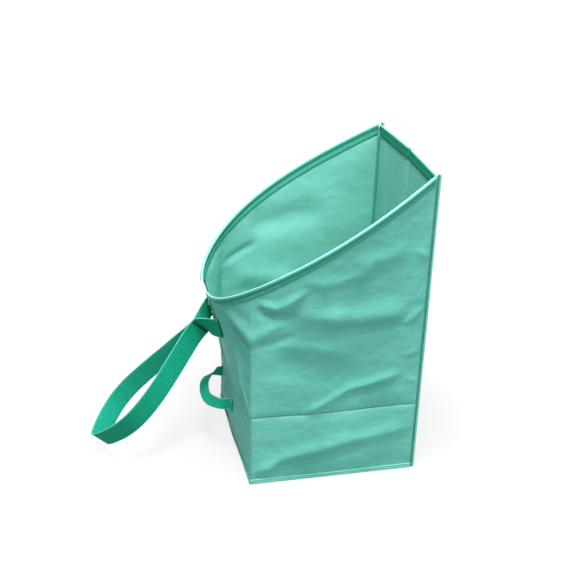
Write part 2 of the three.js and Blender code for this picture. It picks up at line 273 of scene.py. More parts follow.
def shapedGrid(columns, rows, place, flat, outside, closed=False):
    # place(i, j) gives each point of the grid, flat(i, j) where it is on the flat cloth,
    # and outside is a point of the sheet and the direction that it faces there
    bm = bmesh.new()
    bmesh.ops.create_grid(bm, x_segments=columns, y_segments=rows, size=0.5)
    uvLayer = bm.loops.layers.uv.new("cloth")
    index = {v: (round((v.co.x + 0.5) * columns), round((v.co.y + 0.5) * rows)) for v in bm.verts}
    for face in bm.faces:
        for loop in face.loops:
            loop[uvLayer].uv = flat(*index[loop.vert])
    for vert, (i, j) in index.items():
        vert.co = place(i, j)
    bm.normal_update()
    middle = min(bm.faces, key=lambda f: (f.calc_center_median() - outside[0]).length)
    if middle.normal.dot(outside[1]) < 0:
        bmesh.ops.reverse_faces(bm, faces=bm.faces)
    if closed:
        bmesh.ops.remove_doubles(bm, verts=bm.verts, dist=1e-6)
    return bm


def makeSheet(grid, look, cover, nodes=()):
    # grid: what shapedGrid takes; look: name, material and slot (the slot is not used), and the body if
    # it isn't the bag;
    # cover: thickness, the side that it grows to, and the inner face's material if it has its own
    name, material, *rest = look
    piece = finishPiece(name, shapedGrid(*grid), material, *rest)
    thickness, side, *inside = cover
    solidify = piece.modifiers.new("thickness", "SOLIDIFY")
    if inside:
        piece.data.materials.append(inside[0])
        solidify.material_offset = 1
    solidify.thickness = thickness
    solidify.offset = side
    solidify.use_even_offset = True
    if nodes:
        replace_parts(piece, *nodes)
    return piece


def roundEdges(piece, width):
    bevel = piece.modifiers.new("edge", "BEVEL")
    bevel.width = width
    bevel.segments = 2
    bevel.limit_method = "ANGLE"
    bevel.angle_limit = math.radians(50)


def stitchRow(name, places, size):
    # places: list of (point, along, outward); size: half length, half width, half height
    bm = bmesh.new()
    grow = Matrix.Diagonal((*size, 1))
    for point, along, outward in places:
        across = outward.cross(along).normalized()
        turn = turnOnto(along.normalized(), across, outward.normalized())
        matrix = Matrix.Translation(point) @ turn @ grow
        bmesh.ops.create_icosphere(bm, subdivisions=1, radius=1, matrix=matrix)
    return finishPiece(name, bm, thread, "dark_thread")


def fillSockets(tree, node, sockets):
    # each socket takes a plain value or another node's output
    for key, value in sockets.items():
        if isinstance(value, bpy.types.NodeSocket):
            tree.links.new(value, node.inputs[key])
        else:
            node.inputs[key].default_value = value


def addNode(tree, kind, sockets=None, **traits):
    node = tree.nodes.new("ShaderNode" + kind)
    for trait, value in traits.items():
        setattr(node, trait, value)
    fillSockets(tree, node, sockets or {})
    return node


def mathNode(tree, operation, *values):
    return addNode(tree, "Math", dict(enumerate(values)), operation=operation).outputs[0]


def archNode(tree, value):
    # rises and falls once over each whole step of the value
    return mathNode(tree, "SINE", mathNode(tree, "MULTIPLY", mathNode(tree, "FRACT", value), math.pi))


def awayNode(tree, value, middle):
    return mathNode(tree, "ABSOLUTE", mathNode(tree, "SUBTRACT", value, middle))


def noiseNode(tree, place, scale, detail, distortion=0.0):
    sockets = {"Vector": place, "Scale": scale, "Detail": detail, "Distortion": distortion}
    return addNode(tree, "TexNoise", sockets).outputs[0]


def rangeNode(tree, value, low=0.0, high=1.0, start=0.0, stop=1.0):
    # low to high becomes start to stop
    sockets = {"Value": value, "From Min": low, "From Max": high, "To Min": start, "To Max": stop}
    return addNode(tree, "MapRange", sockets).outputs[0]


def mixColour(tree, factor, first, second):
    mix = addNode(tree, "Mix", data_type="RGBA")
    fillSockets(tree, mix, {0: factor, 6: first, 7: second})
    return mix.outputs[2]


def splitNode(tree, place):
    return addNode(tree, "SeparateXYZ", {0: place}).outputs


def newGroup(name, inputs, outputs):
    # inputs: name and default value, none for a vector; all outputs are plain values
    group = bpy.data.node_groups.new(name, "ShaderNodeTree")
    for title, value in inputs.items():
        kind = "NodeSocketVector" if value is None else "NodeSocketFloat"
        socket = group.interface.new_socket(name=title, in_out="INPUT", socket_type=kind)
        if value is not None:
            socket.default_value = value
    for title in outputs:
        group.interface.new_socket(name=title, in_out="OUTPUT", socket_type="NodeSocketFloat")
    return group, group.nodes.new("NodeGroupInput").outputs, group.nodes.new("NodeGroupOutput")


weaveSettings = {
    "drift": 26.0,  # tone changes along a tape, per metre
    "apart": 7.31,  # keeps the tones of neighbouring tapes unlike
    "seeds": (11.0, 53.0),
    "toneLow": 0.34,
    "toneHigh": 0.74,
    "tonePower": 1.6,
    "warpShare": 0.4,
    "relief": 0.18,
}


def makeWeaveGroup(s):
    # flat tapes woven over and under each other, in metres of flat cloth
    inputs = {"Cloth": None, "Tape Width": 0.003, "Streaks": 0.5}
    group, given, put = newGroup("woven tapes", inputs, ("Shade", "Height"))
    along, up = splitNode(group, given["Cloth"])[:2]
    across = mathNode(group, "DIVIDE", along, given["Tape Width"])
    climb = mathNode(group, "DIVIDE", up, given["Tape Width"])
    warpId, weftId = mathNode(group, "FLOOR", across), mathNode(group, "FLOOR", climb)
    parity = mathNode(group, "MODULO", mathNode(group, "ADD", warpId, weftId), 2.0)
    over = mathNode(group, "ABSOLUTE", parity)
    warpIn = mathNode(group, "MULTIPLY", archNode(group, across), over)
    under = mathNode(group, "SUBTRACT", 1.0, over)
    weftIn = mathNode(group, "MULTIPLY", archNode(group, climb), under)
    height = mathNode(group, "ADD", warpIn, weftIn)
    tones = []
    for tapeId, lengthwise, seed in zip((warpId, weftId), (up, along), s["seeds"]):
        join = addNode(group, "CombineXYZ", {
            0: mathNode(group, "MULTIPLY", lengthwise, s["drift"]),
            1: mathNode(group, "MULTIPLY", tapeId, s["apart"]),
            2: seed,
        })
        drift = rangeNode(group, noiseNode(group, join.outputs[0], 1.0, 1.0), s["toneLow"], s["toneHigh"])
        tones.append(mathNode(group, "POWER", drift, s["tonePower"]))
    warp = mathNode(group, "MULTIPLY", tones[0], s["warpShare"])
    streak = mathNode(group, "MULTIPLY", mathNode(group, "ADD", tones[1], warp), given["Streaks"])
    relief = mathNode(group, "MULTIPLY", height, s["relief"])
    fillSockets(group, put, {"Shade": mathNode(group, "ADD", streak, relief), "Height": height})
    return group


ribSettings = {
    "stagger": 0.5,
    "pickLow": 0.35,
    "pickRise": 0.65,
    "blotchScale": 240,
    "blotch": 0.5,
    "shadeGain": 0.36,
    "shadeLow": 0.1,
    "edge": (0.0008, 0.002, 0.75, 0.0),
}


def makeRibGroup(s):
    # woven webbing: lengthwise ribs crossed by fine picks, and a painted highlight along both edges
    inputs = {"Cloth": None, "Rib Width": 0.0022, "Pick Length": 0.0026, "Half Width": 0.025}
    group, given, put = newGroup("webbing ribs", inputs, ("Shade", "Height", "Edge Highlight"))
    place = splitNode(group, given["Cloth"])
    across = mathNode(group, "DIVIDE", place[0], given["Rib Width"])
    along = mathNode(group, "DIVIDE", place[1], given["Pick Length"])
    stagger = mathNode(group, "MULTIPLY", mathNode(group, "FLOOR", across), s["stagger"])
    pick = archNode(group, mathNode(group, "ADD", along, stagger))
    picked = mathNode(group, "ADD", s["pickLow"], mathNode(group, "MULTIPLY", pick, s["pickRise"]))
    height = mathNode(group, "MULTIPLY", archNode(group, across), picked)
    blotch = noiseNode(group, given["Cloth"], s["blotchScale"], 3)
    relief = mathNode(group, "MULTIPLY_ADD", height, s["shadeGain"], s["shadeLow"])
    shade = mathNode(group, "ADD", relief, mathNode(group, "MULTIPLY", blotch, s["blotch"]))
    away = awayNode(group, place[0], given["Half Width"])
    inward = mathNode(group, "SUBTRACT", given["Half Width"], away)
    edge = rangeNode(group, inward, *s["edge"])
    fillSockets(group, put, {"Shade": shade, "Height": height, "Edge Highlight": edge})
    return group


crumpleSettings = {"broad": 0.4, "sharp": 0.62, "power": 0.7}


def makeCrumpleGroup(s):
    # soft crumple that covers every cloth piece, on the object's own coordinates
    inputs = {"Place": None, "Scale": 18.0}
    group, given, put = newGroup("soft crumple", inputs, ("Tone", "Height", "Creases"))
    broadScale = mathNode(group, "MULTIPLY", given["Scale"], s["broad"])
    sharpScale = mathNode(group, "MULTIPLY", given["Scale"], s["sharp"])
    # sharp little creases run where a noise crosses its middle value
    away = awayNode(group, noiseNode(group, given["Place"], sharpScale, 1.5, 0.2), 0.5)
    fillSockets(group, put, {
        "Tone": noiseNode(group, given["Place"], broadScale, 3),
        "Height": noiseNode(group, given["Place"], given["Scale"], 4, 0.6),
        "Creases": mathNode(group, "POWER", away, s["power"]),
    })
    return group


pressedShadeSettings = {  # of each line: its middle above the level, half width and strength
    "Dark": (0.0, 0.0021, 0.85),
    "Bright": (-0.0031, 0.0026, 0.7),
    "wanderScale": 26,
    "least": 0.45,
}


def makePressedShadeGroup(s):
    # the pressed line round the wall: a painted shade along it with a painted highlight under it, both
    # broken up
    inputs = {"Cloth": None, "Level": bag["crease"]}
    group, given, put = newGroup("pressed line", inputs, ("Dark", "Bright"))
    above = mathNode(group, "SUBTRACT", splitNode(group, given["Cloth"])[1], given["Level"])
    # noise breaks up the painted shade and highlight
    wander = noiseNode(group, given["Cloth"], s["wanderScale"], 2)
    wear = mathNode(group, "ADD", wander, s["least"])
    for title in ("Dark", "Bright"):
        middle, width, strength = s[title]
        near = rangeNode(group, awayNode(group, above, middle), 0.0, width, strength, 0.0)
        fillSockets(group, put, {title: mathNode(group, "MULTIPLY", near, wear)})
    return group


zoneSettings = {"groove": (0.0006, 0.002, 0.5, 0.0)}


def makeZoneGroup(s):
    # zones across a narrow strip: past the middle band, and the groove on each side of it, which takes a
    # painted shade
    inputs = {"Cloth": None, "Middle": 0.0, "Start": 0.001, "Stop": 0.002, "Groove": 1.0}
    group, given, put = newGroup("strip zones", inputs, ("Outer", "Groove"))
    across = awayNode(group, splitNode(group, given["Cloth"])[1], given["Middle"])
    fillSockets(group, put, {
        "Outer": rangeNode(group, across, given["Start"], given["Stop"]),
        "Groove": rangeNode(group, awayNode(group, across, given["Groove"]), *s["groove"]),
    })
    return group


weaveGroup = makeWeaveGroup(weaveSettings)
ribGroup = makeRibGroup(ribSettings)
crumpleGroup = makeCrumpleGroup(crumpleSettings)
pressedShadeGroup = makePressedShadeGroup(pressedShadeSettings)
zoneGroup = makeZoneGroup(zoneSettings)


def newMaterial(name):
    material = bpy.data.materials.new(name)
    material.use_nodes = True
    tree = material.node_tree
    return material, tree, tree.nodes["Principled BSDF"]


def placeGroup(tree, group, sockets):
    return addNode(tree, "Group", sockets, node_tree=group).outputs


def clothPlace(tree):
    return addNode(tree, "UVMap", uv_map="cloth").outputs[0]


def objectPlace(tree):
    return addNode(tree, "TexCoord").outputs["Object"]


def addBump(tree, shader, heights):
    # heights: list of (socket, strength, distance)
    normal = None
    for height, strength, distance in heights:
        bump = addNode(tree, "Bump", {"Height": height, "Strength": strength, "Distance": distance})
        if normal:
            tree.links.new(normal, bump.inputs["Normal"])
        normal = bump.outputs[0]
    tree.links.new(normal, shader.inputs["Normal"])


clothSettings = {
    "crumpleScale": 22.0,
    "toneLow": 0.3,
    "toneHigh": 0.7,
    "streakMix": 0.55,
    "lineShade": 0.4,
    "smoother": 0.07,
    "rougher": 0.1,
    "gloss": 0.012,
    "bumps": (0.5, 0.4, 0.35),  # of the crumple, its creases and the weave
    "weaveDepth": 0.0003,
}
clothLook = {  # colours from 0 to 255
    "shadow": (88, 176, 160),
    "base": (102, 190, 176),
    "light": (144, 218, 208),
    "tapeWidth": 0.0028,
    "roughness": 0.42,
    "crumple": 0.006,
}
# the inside faces: the same cloth painted lighter, for the light that falls inside the bag
insideLitLook = {
    "shadow": (110, 194, 177),
    "base": (122, 204, 188),
    "light": (152, 222, 210),
    "tapeWidth": 0.0028,
    "roughness": 0.5,
    "crumple": 0.0032,
}
# the lip's folded top edge, pale for a painted highlight along it
edgeHighlightLook = {
    "shadow": (120, 212, 194),
    "base": (146, 232, 218),
    "light": (182, 250, 240),
    "tapeWidth": 0.0024,
    "roughness": 0.38,
    "crumple": 0.003,
}
bindingLook = {
    "shadow": (110, 200, 182),
    "base": (138, 224, 208),
    "light": (168, 244, 230),
    "tapeWidth": 0.002,
    "roughness": 0.45,
    "crumple": 0.003,
}


def makeClothMaterial(name, look, streaks=0.34, pressed=False):
    s = clothSettings
    material, tree, shader = newMaterial(name)
    shadow, base, light = linearColours(look, "shadow", "base", "light")
    uv = clothPlace(tree)
    sockets = {"Cloth": uv, "Tape Width": look["tapeWidth"], "Streaks": streaks}
    weave = placeGroup(tree, weaveGroup, sockets)
    sockets = {"Place": objectPlace(tree), "Scale": s["crumpleScale"]}
    crumple = placeGroup(tree, crumpleGroup, sockets)
    tone = rangeNode(tree, crumple["Tone"], s["toneLow"], s["toneHigh"])
    streak = mathNode(tree, "MULTIPLY", weave["Shade"], s["streakMix"])
    colour = mixColour(tree, streak, mixColour(tree, tone, shadow, base), light)
    # painted shade along the pressed line and a painted highlight under it
    if pressed:
        lines = placeGroup(tree, pressedShadeGroup, {"Cloth": uv})
        colour = mixColour(tree, lines["Bright"], colour, light)
        colour = mixColour(tree, lines["Dark"], colour, darker(shadow, s["lineShade"]))
    low, high = look["roughness"] - s["smoother"], look["roughness"] + s["rougher"]
    fillSockets(tree, shader, {
        "Base Color": colour,
        "Roughness": rangeNode(tree, weave["Shade"], start=low, stop=high),
        "Specular IOR Level": s["gloss"],
    })
    heights = (crumple["Height"], crumple["Creases"], weave["Height"])
    depths = (look["crumple"], look["crumple"], s["weaveDepth"])
    addBump(tree, shader, zip(heights, s["bumps"], depths))
    return material


webbingSettings = {
    "stops": (0.28, 0.84, 0.52),  # of the dark, the light and the base colour
    "roughness": 0.62,
    "gloss": 0.04,
    "bump": (0.9, 0.0007),  # strength and depth
}
# edge: the painted highlight along both edges of the webbing
webbingLook = {
    "dark": (0, 112, 78),
    "base": (10, 154, 120),
    "light": (60, 204, 176),
    "edge": (120, 224, 202),
}
# the same webbing painted lighter: on the strap's inner face, and on the tipping tape, where it lightens
# the shade under the bag
litWebbingLook = {
    "dark": (6, 136, 102),
    "base": (26, 182, 148),
    "light": (84, 226, 202),
    "edge": (124, 226, 206),
}
lipLook = {
    "dark": (22, 118, 92),
    "base": (44, 152, 124),
    "light": (76, 182, 154),
    "edge": (70, 176, 150),
}


def makeWebbingMaterial(name, look, ribWidth, width):
    s = webbingSettings
    material, tree, shader = newMaterial(name)
    dark, base, light, edge = linearColours(look, "dark", "base", "light", "edge")
    sockets = {"Cloth": clothPlace(tree), "Rib Width": ribWidth, "Half Width": width / 2}
    ribs = placeGroup(tree, ribGroup, sockets)
    ramp = addNode(tree, "ValToRGB", {0: ribs["Shade"]})
    first, last, between = s["stops"]
    stops = ramp.color_ramp.elements
    stops[0].position, stops[0].color = first, dark
    stops[1].position, stops[1].color = last, light
    stops.new(between).color = base
    # the edge colour is a painted highlight along both edges
    fillSockets(tree, shader, {
        "Base Color": mixColour(tree, ribs["Edge Highlight"], ramp.outputs[0], edge),
        "Roughness": s["roughness"],
        "Specular IOR Level": s["gloss"],
    })
    addBump(tree, shader, [(ribs["Height"], *s["bump"])])
    return material


stripSettings = {
    "crumpleScale": 90.0,
    "streaks": 0.3,
    "grooveShade": 0.35,
    "gloss": 0.06,
    "bump": (0.5, 0.0016),
    "weaveBump": (0.3, 0.0002),
}
hemLook = {  # a painted highlight along the top of the sleeve over the rod, and its two flaps darker than the wall's cloth for painted shade
    "inner": (168, 236, 224),
    "outer": (72, 170, 148),
    "worn": (96, 192, 172),
    "wear": 0.3,
    "zones": (0.0185, 0.0018, 0.0042, 0.0092),  # middle, start and stop of the change, groove
    "tapeWidth": 0.0024,
    "roughness": 0.36,
}
seamLook = {  # dark stitched channel at the root, paler raw edge
    "inner": (22, 118, 92),
    "outer": (104, 190, 172),
    "worn": (150, 226, 210),
    "wear": 0.4,
    "zones": (0.0, 0.0034, 0.0052, 1.0),
    "tapeWidth": 0.002,
    "roughness": 0.5,
}
tapeLook = {
    "inner": (52, 160, 134),
    "outer": (72, 180, 154),
    "worn": (100, 200, 176),
    "wear": 0.3,
    "zones": (0.004, 0.001, 0.004, 1.0),
    "tapeWidth": 0.0015,
    "roughness": 0.5,
}


def makeStripMaterial(name, look):
    # across the strip the colour goes from the inner one to the outer one
    s = stripSettings
    material, tree, shader = newMaterial(name)
    inner, outer, worn = linearColours(look, "inner", "outer", "worn")
    uv = clothPlace(tree)
    sockets = {"Place": objectPlace(tree), "Scale": s["crumpleScale"]}
    crumple = placeGroup(tree, crumpleGroup, sockets)
    sockets = {"Cloth": uv, "Tape Width": look["tapeWidth"], "Streaks": s["streaks"]}
    weave = placeGroup(tree, weaveGroup, sockets)
    sockets = {"Cloth": uv, **dict(zip(("Middle", "Start", "Stop", "Groove"), look["zones"]))}
    zones = placeGroup(tree, zoneGroup, sockets)
    wear = mathNode(tree, "MULTIPLY", crumple["Height"], look["wear"])
    colour = mixColour(tree, wear, mixColour(tree, zones["Outer"], inner, outer), worn)
    fillSockets(tree, shader, {
        # painted shade along the grooves
        "Base Color": mixColour(tree, zones["Groove"], colour, darker(outer, s["grooveShade"])),
        "Roughness": look["roughness"],
        "Specular IOR Level": s["gloss"],
    })
    addBump(tree, shader, [(crumple["Height"], *s["bump"]), (weave["Height"], *s["weaveBump"])])
    return material


plainSettings = {"detail": 3, "bump": (0.4, 0.0002)}


def makePlainMaterial(name, dark, light, roughness, scale, gloss=0.5):
    # a fine grain for thread, rod and moulded caps
    material, tree, shader = newMaterial(name)
    grain = noiseNode(tree, objectPlace(tree), scale, plainSettings["detail"])
    fillSockets(tree, shader, {
        "Base Color": mixColour(tree, grain, toLinear(*dark), toLinear(*light)),
        "Roughness": roughness,
        "Specular IOR Level": gloss,
    })
    addBump(tree, shader, [(grain, *plainSettings["bump"])])
    return material


cloth = makeClothMaterial("woven cloth", clothLook)
# inside faces painted lighter for the light inside the bag
insideLitCloth = makeClothMaterial("woven cloth inside painted lighter", insideLitLook)
# the wall's cloth, with the pressed line's painted shade and highlight
pressedCloth = makeClothMaterial("pressed cloth", clothLook, pressed=True)
pressedInsideLit = makeClothMaterial("pressed cloth inside painted lighter", insideLitLook, pressed=True)
hemCloth = makeStripMaterial("rim cloth", hemLook)
edgeHighlightCloth = makeClothMaterial("folded edge painted highlight", edgeHighlightLook, 0.3)
seamCloth = makeStripMaterial("seam cloth", seamLook)
seamTape = makeStripMaterial("seam tape", tapeLook)
bindingCloth = makeClothMaterial("binding cloth", bindingLook, 0.3)
webbing = makeWebbingMaterial("webbing", webbingLook, 0.0026, 0.05)
litInnerWebbing = makeWebbingMaterial("webbing inside painted lighter", litWebbingLook, 0.0026, 0.05)
# the tipping tape takes the lighter webbing, painted light in the shade under the bag
tapeWebbing = makeWebbingMaterial("narrow webbing", litWebbingLook, 0.0022, 0.029)
lipWebbing = makeWebbingMaterial("lip webbing", lipLook, 0.002, 0.025)
thread = makePlainMaterial("dark thread", (4, 72, 52), (14, 108, 80), 0.7, 900, 0.06)
rodWhite = makePlainMaterial("glass fibre rod", (214, 216, 208), (242, 243, 238), 0.32, 300)
capWhite = makePlainMaterial("moulded cap", (222, 224, 218), (238, 240, 236), 0.4, 500)
print("materials made")

wrap = {  # the near side, the front and the far side in one cloth
    "sideColumns": 88,
    "frontColumns": 84,
    "lowRows": 40,
    "highRows": 92,
    "crumples": (  # height, and changes in a metre along and up
        (0.0032, 8, 11),
        (0.0014, 19, 27),
        (0.0005, 48, 60),
    ),
    "seeds": (3.7, 7.7, 12.7),
    "foldGain": 1.55,
    "foldEnd": 0.025,
    "foldTaper": 0.4,
    "foldReach": 0.06,
    "creaseDepth": 0.0036,
    "creaseWidth": 0.007,
    "creaseFade": 0.006,
    "crownSlope": 1.6,
    "crownHalf": 0.062,
    "crownNotch": 0.027,
    "crownBack": 0.014,
    "crownFade": 0.15,
    "footFlat": 0.011,
    "footMiddle": 0.062,
    "footSpread": 0.042,
    "groundFade": 0.02,
    "endFade": 0.012,
    "lowFade": 0.045,
    "highSpace": 0.008,
    "highFade": 0.035,
    "flatFade": 0.022,
}
# folds in metres along the wrap from the near back corner and up from the ground:
# start, end, half width and height outwards
softFolds = [
    # the near wall's slack below the rim
    ((0.230, 0.440), (0.060, 0.432), 0.026, 0.0066),
    ((0.220, 0.398), (0.060, 0.404), 0.015, -0.0048),
    ((0.300, 0.455), (0.205, 0.432), 0.028, 0.0046),
    ((0.372, 0.471), (0.336, 0.464), 0.009, 0.0054),
    ((0.336, 0.464), (0.287, 0.506), 0.010, 0.0066),
    ((0.372, 0.451), (0.305, 0.443), 0.012, -0.0044),
    ((0.262, 0.520), (0.150, 0.545), 0.014, 0.0030),
    ((0.170, 0.560), (0.060, 0.590), 0.020, 0.0035),
    # round the top of the pressed corner
    ((0.505, 0.436), (0.396, 0.376), 0.017, 0.0040),
    ((0.490, 0.398), (0.404, 0.358), 0.009, -0.0040),
    ((0.394, 0.382), (0.335, 0.424), 0.013, 0.0036),
    ((0.380, 0.364), (0.310, 0.392), 0.011, -0.0036),
    # the broad hollow across the middle
    ((0.330, 0.318), (0.140, 0.268), 0.036, -0.0034),
    ((0.330, 0.370), (0.180, 0.345), 0.020, 0.0022),
    # the slanting fold above the pressed line
    ((0.265, 0.190), (0.175, 0.241), 0.009, 0.0048),
    ((0.175, 0.241), (0.060, 0.269), 0.010, 0.0048),
    ((0.180, 0.219), (0.085, 0.243), 0.012, -0.0042),
    # the lower wall's sag
    ((0.378, 0.030), (0.320, 0.070), 0.014, 0.0060),
    ((0.320, 0.070), (0.160, 0.106), 0.018, 0.0060),
    ((0.160, 0.106), (0.030, 0.118), 0.016, 0.0045),
    ((0.330, 0.045), (0.130, 0.078), 0.014, -0.0045),
    # puckers along the back seam
    ((0.004, 0.438), (0.048, 0.402), 0.008, 0.0028),
    ((0.004, 0.330), (0.036, 0.318), 0.006, 0.0018),
    ((0.004, 0.560), (0.040, 0.585), 0.007, 0.0022),
    ((0.004, 0.240), (0.030, 0.255), 0.006, 0.0016),
    # the front wall, and the far wall as it is seen from inside
    ((0.455, 0.240), (0.470, 0.335), 0.011, 0.0045),
    ((0.640, 0.205), (0.740, 0.275), 0.010, 0.0035),
    ((0.560, 0.060), (0.660, 0.105), 0.016, -0.0045),
    ((0.820, 0.405), (0.900, 0.440), 0.012, 0.0040),
    ((0.850, 0.360), (1.000, 0.330), 0.026, -0.0050),
    ((0.900, 0.480), (1.060, 0.520), 0.030, 0.0060),
    ((1.020, 0.200), (1.130, 0.255), 0.012, 0.0045),
    ((0.880, 0.100), (1.080, 0.080), 0.018, 0.0050),
]
sharpFolds = [
    ((0.345, 0.186), (0.345, 0.300), 0.0022, 0.0009),
    ((0.062, 0.195), (0.058, 0.400), 0.0022, 0.0008),
    ((0.400, 0.182), (0.486, 0.275), 0.0045, 0.0030),
]
flatPlaces = [  # where the webbing is sewn flat to the front wall: middle and half size
    (0.5617, 0.350, 0.036, 0.040),
    (0.6433, 0.350, 0.036, 0.040),
    (0.5445, 0.137, 0.026, 0.026),
    (0.7145, 0.137, 0.026, 0.026),
]
nearRun, frontRun = bag["length"], bag["length"] + bag["width"]


def foldOffset(run, height):
    total = 0.0
    rows = [(fold, 2) for fold in softFolds] + [(fold, 1) for fold in sharpFolds]
    for ((x0, z0), (x1, z1), width, rise), power in rows:
        reach = 3 * width + wrap["foldReach"]
        if not min(x0, x1) - reach < run < max(x0, x1) + reach:
            continue
        if not min(z0, z1) - reach < height < max(z0, z1) + reach:
            continue
        lineX, lineZ = x1 - x0, z1 - z0
        length = math.hypot(lineX, lineZ)
        along = ((run - x0) * lineX + (height - z0) * lineZ) / length
        away = abs((run - x0) * lineZ - (height - z0) * lineX) / length
        taper = min(wrap["foldTaper"] * length, wrap["foldEnd"])
        fade = smoothStep((along + taper) / (2 * taper))
        fade *= smoothStep((length - along + taper) / (2 * taper))
        total += rise * math.exp(-((away / width) ** power)) * fade
    return total


def crownDent(share, rise):
    # the front wall's top sags back from the bare rod, and its raw edge is cut lower there
    away = abs(share - 0.5) * mouthLength
    slope = wrap["crownSlope"]
    back = wrap["crownBack"] * smoothStep(slope * (1 - away / wrap["crownHalf"]))
    notch = wrap["crownNotch"] * smoothStep(slope * (1 - 2 * away / bag["bareCrown"]))
    near = smoothStep((rise - 1 + wrap["crownFade"]) / wrap["crownFade"])
    return Vector((back, 0, -notch)) * near


def wrapPlace(share, rise, run):
    point = plainWall(share, rise)
    height = point.z
    edge = min(share, 1 - share)
    fade = smoothStep(edge / wrap["endFade"]) * smoothStep(height / wrap["lowFade"])
    fade *= smoothStep((wallTop(share).z - height - wrap["highSpace"]) / wrap["highFade"])
    flat = 1.0
    for middle, level, halfAlong, halfUp in flatPlaces:
        beyond = max(abs(run - middle) - halfAlong, abs(height - level) - halfUp, 0)
        flat = min(flat, smoothStep(beyond / wrap["flatFade"]))
    offset = wrap["foldGain"] * foldOffset(run, height)
    for (tall, scaleAlong, scaleUp), seed in zip(wrap["crumples"], wrap["seeds"]):
        offset += tall * noiseAt(run * scaleAlong, height * scaleUp, seed)
    offset *= fade * flat
    away = abs(height - bag["crease"]) / wrap["creaseWidth"]
    offset -= wrap["creaseDepth"] * math.exp(-away) * smoothStep(edge / wrap["creaseFade"])
    # the front wall hangs flatter near the ground than the solid one
    if nearRun < run < frontRun:
        across = math.sin(math.pi * (run - nearRun) / bag["width"])
        low = math.exp(-(((height - wrap["footMiddle"]) / wrap["footSpread"]) ** 2))
        offset -= wrap["footFlat"] * across * low * smoothStep(height / wrap["groundFade"])
    return point + crownDent(share, rise) + wallOutward(share, rise) * offset


def makeWrap():
    shares = wallShares(wrap["sideColumns"], wrap["frontColumns"])
    runs = [0.0]
    for before, after in zip(shares, shares[1:]):
        runs.append(runs[-1] + (footPoint(after) - footPoint(before)).length)

    def heightAt(i, j):
        if j <= wrap["lowRows"]:
            return bag["crease"] * j / wrap["lowRows"]
        above = wallTop(shares[i]).z - bag["crease"]
        return bag["crease"] + above * (j - wrap["lowRows"]) / wrap["highRows"]

    grid = (
        len(shares) - 1,
        wrap["lowRows"] + wrap["highRows"],
        lambda i, j: wrapPlace(shares[i], heightAt(i, j) / wallTop(shares[i]).z, runs[i]),
        lambda i, j: (runs[i], heightAt(i, j)),
        (Vector((0, -halfWidth, 0.1)), -sideward),
    )
    look = ("wrapCloth", pressedCloth, "woven_fabric")
    nodes = ("side_panel_right", "side_panel_left", "front_panel")
    return makeSheet(grid, look, (bag["cloth"], -1, pressedInsideLit), nodes)


wrapCloth = makeWrap()
print("wrap made")

scoop = {
    "columns": 70,
    "rows": 120,
    "crumple": 0.0024,
    "bow": 0.0085,
    "bowPower": 0.8,
    "creaseDepth": 0.004,
    "creaseWidth": 0.006,
    "inset": 0.0012,
    "topSpace": 0.002,
    "sideFade": 0.04,
    "endFade": 0.05,
}
base = {"columns": 60, "rows": 60, "ripple": 0.0022, "inset": 0.0015, "fade": 0.05}


def scoopBow(y, z):
    # how far the scoop wall stands out past its two corner seams
    tent = max(1 - abs(y) / halfWidth, 0) ** scoop["bowPower"]
    crease = scoop["creaseDepth"] * math.exp(-abs(y) / scoop["creaseWidth"])
    return smoothStep(z / bag["lipHeight"]) * (scoop["bow"] * tent + crease)


def makeScoopWall():
    half = halfWidth - scoop["inset"]

    def place(i, j):
        y = -half + 2 * half * i / scoop["columns"]
        z = (bag["lipHeight"] - scoop["topSpace"]) * j / scoop["rows"]
        fade = smoothStep((half - abs(y)) / scoop["sideFade"])
        fade *= smoothStep(z / scoop["endFade"]) * smoothStep((bag["lipHeight"] - z) / scoop["endFade"])
        offset = scoop["crumple"] * noiseAt(y * 9, z * 7, 31) * fade
        return Vector((halfLength - abs(offset) + scoopBow(y, z), y, z))

    grid = (
        scoop["columns"],
        scoop["rows"],
        place,
        lambda i, j: (2 * half * i / scoop["columns"], bag["lipHeight"] * j / scoop["rows"]),
        (Vector((halfLength, 0, 0.3)), backward),
    )
    look = ("scoopCloth", cloth, "woven_fabric")
    return makeSheet(grid, look, (bag["cloth"], -1, insideLitCloth), ("scoop_panel",))


def makeBase():
    halfX, halfY = halfLength - base["inset"], halfWidth - base["inset"]

    def place(i, j):
        x = -halfX + 2 * halfX * i / base["columns"]
        y = -halfY + 2 * halfY * j / base["rows"]
        fade = smoothStep((halfX - abs(x)) / base["fade"]) * smoothStep((halfY - abs(y)) / base["fade"])
        ripple = 0.5 + 0.5 * noiseAt(x * 8, y * 8, 12)
        return Vector((x, y, bag["cloth"] + base["ripple"] * ripple * fade))

    grid = (
        base["columns"],
        base["rows"],
        place,
        lambda i, j: (2 * halfX * i / base["columns"], 2 * halfY * j / base["rows"]),
        (Vector((0, 0, 0)), upward),
    )
    look = ("baseCloth", insideLitCloth, "woven_fabric")
    return makeSheet(grid, look, (bag["cloth"], -1, cloth), ("base_panel",))


scoopCloth = makeScoopWall()
baseCloth = makeBase()
print("scoop wall and base made")

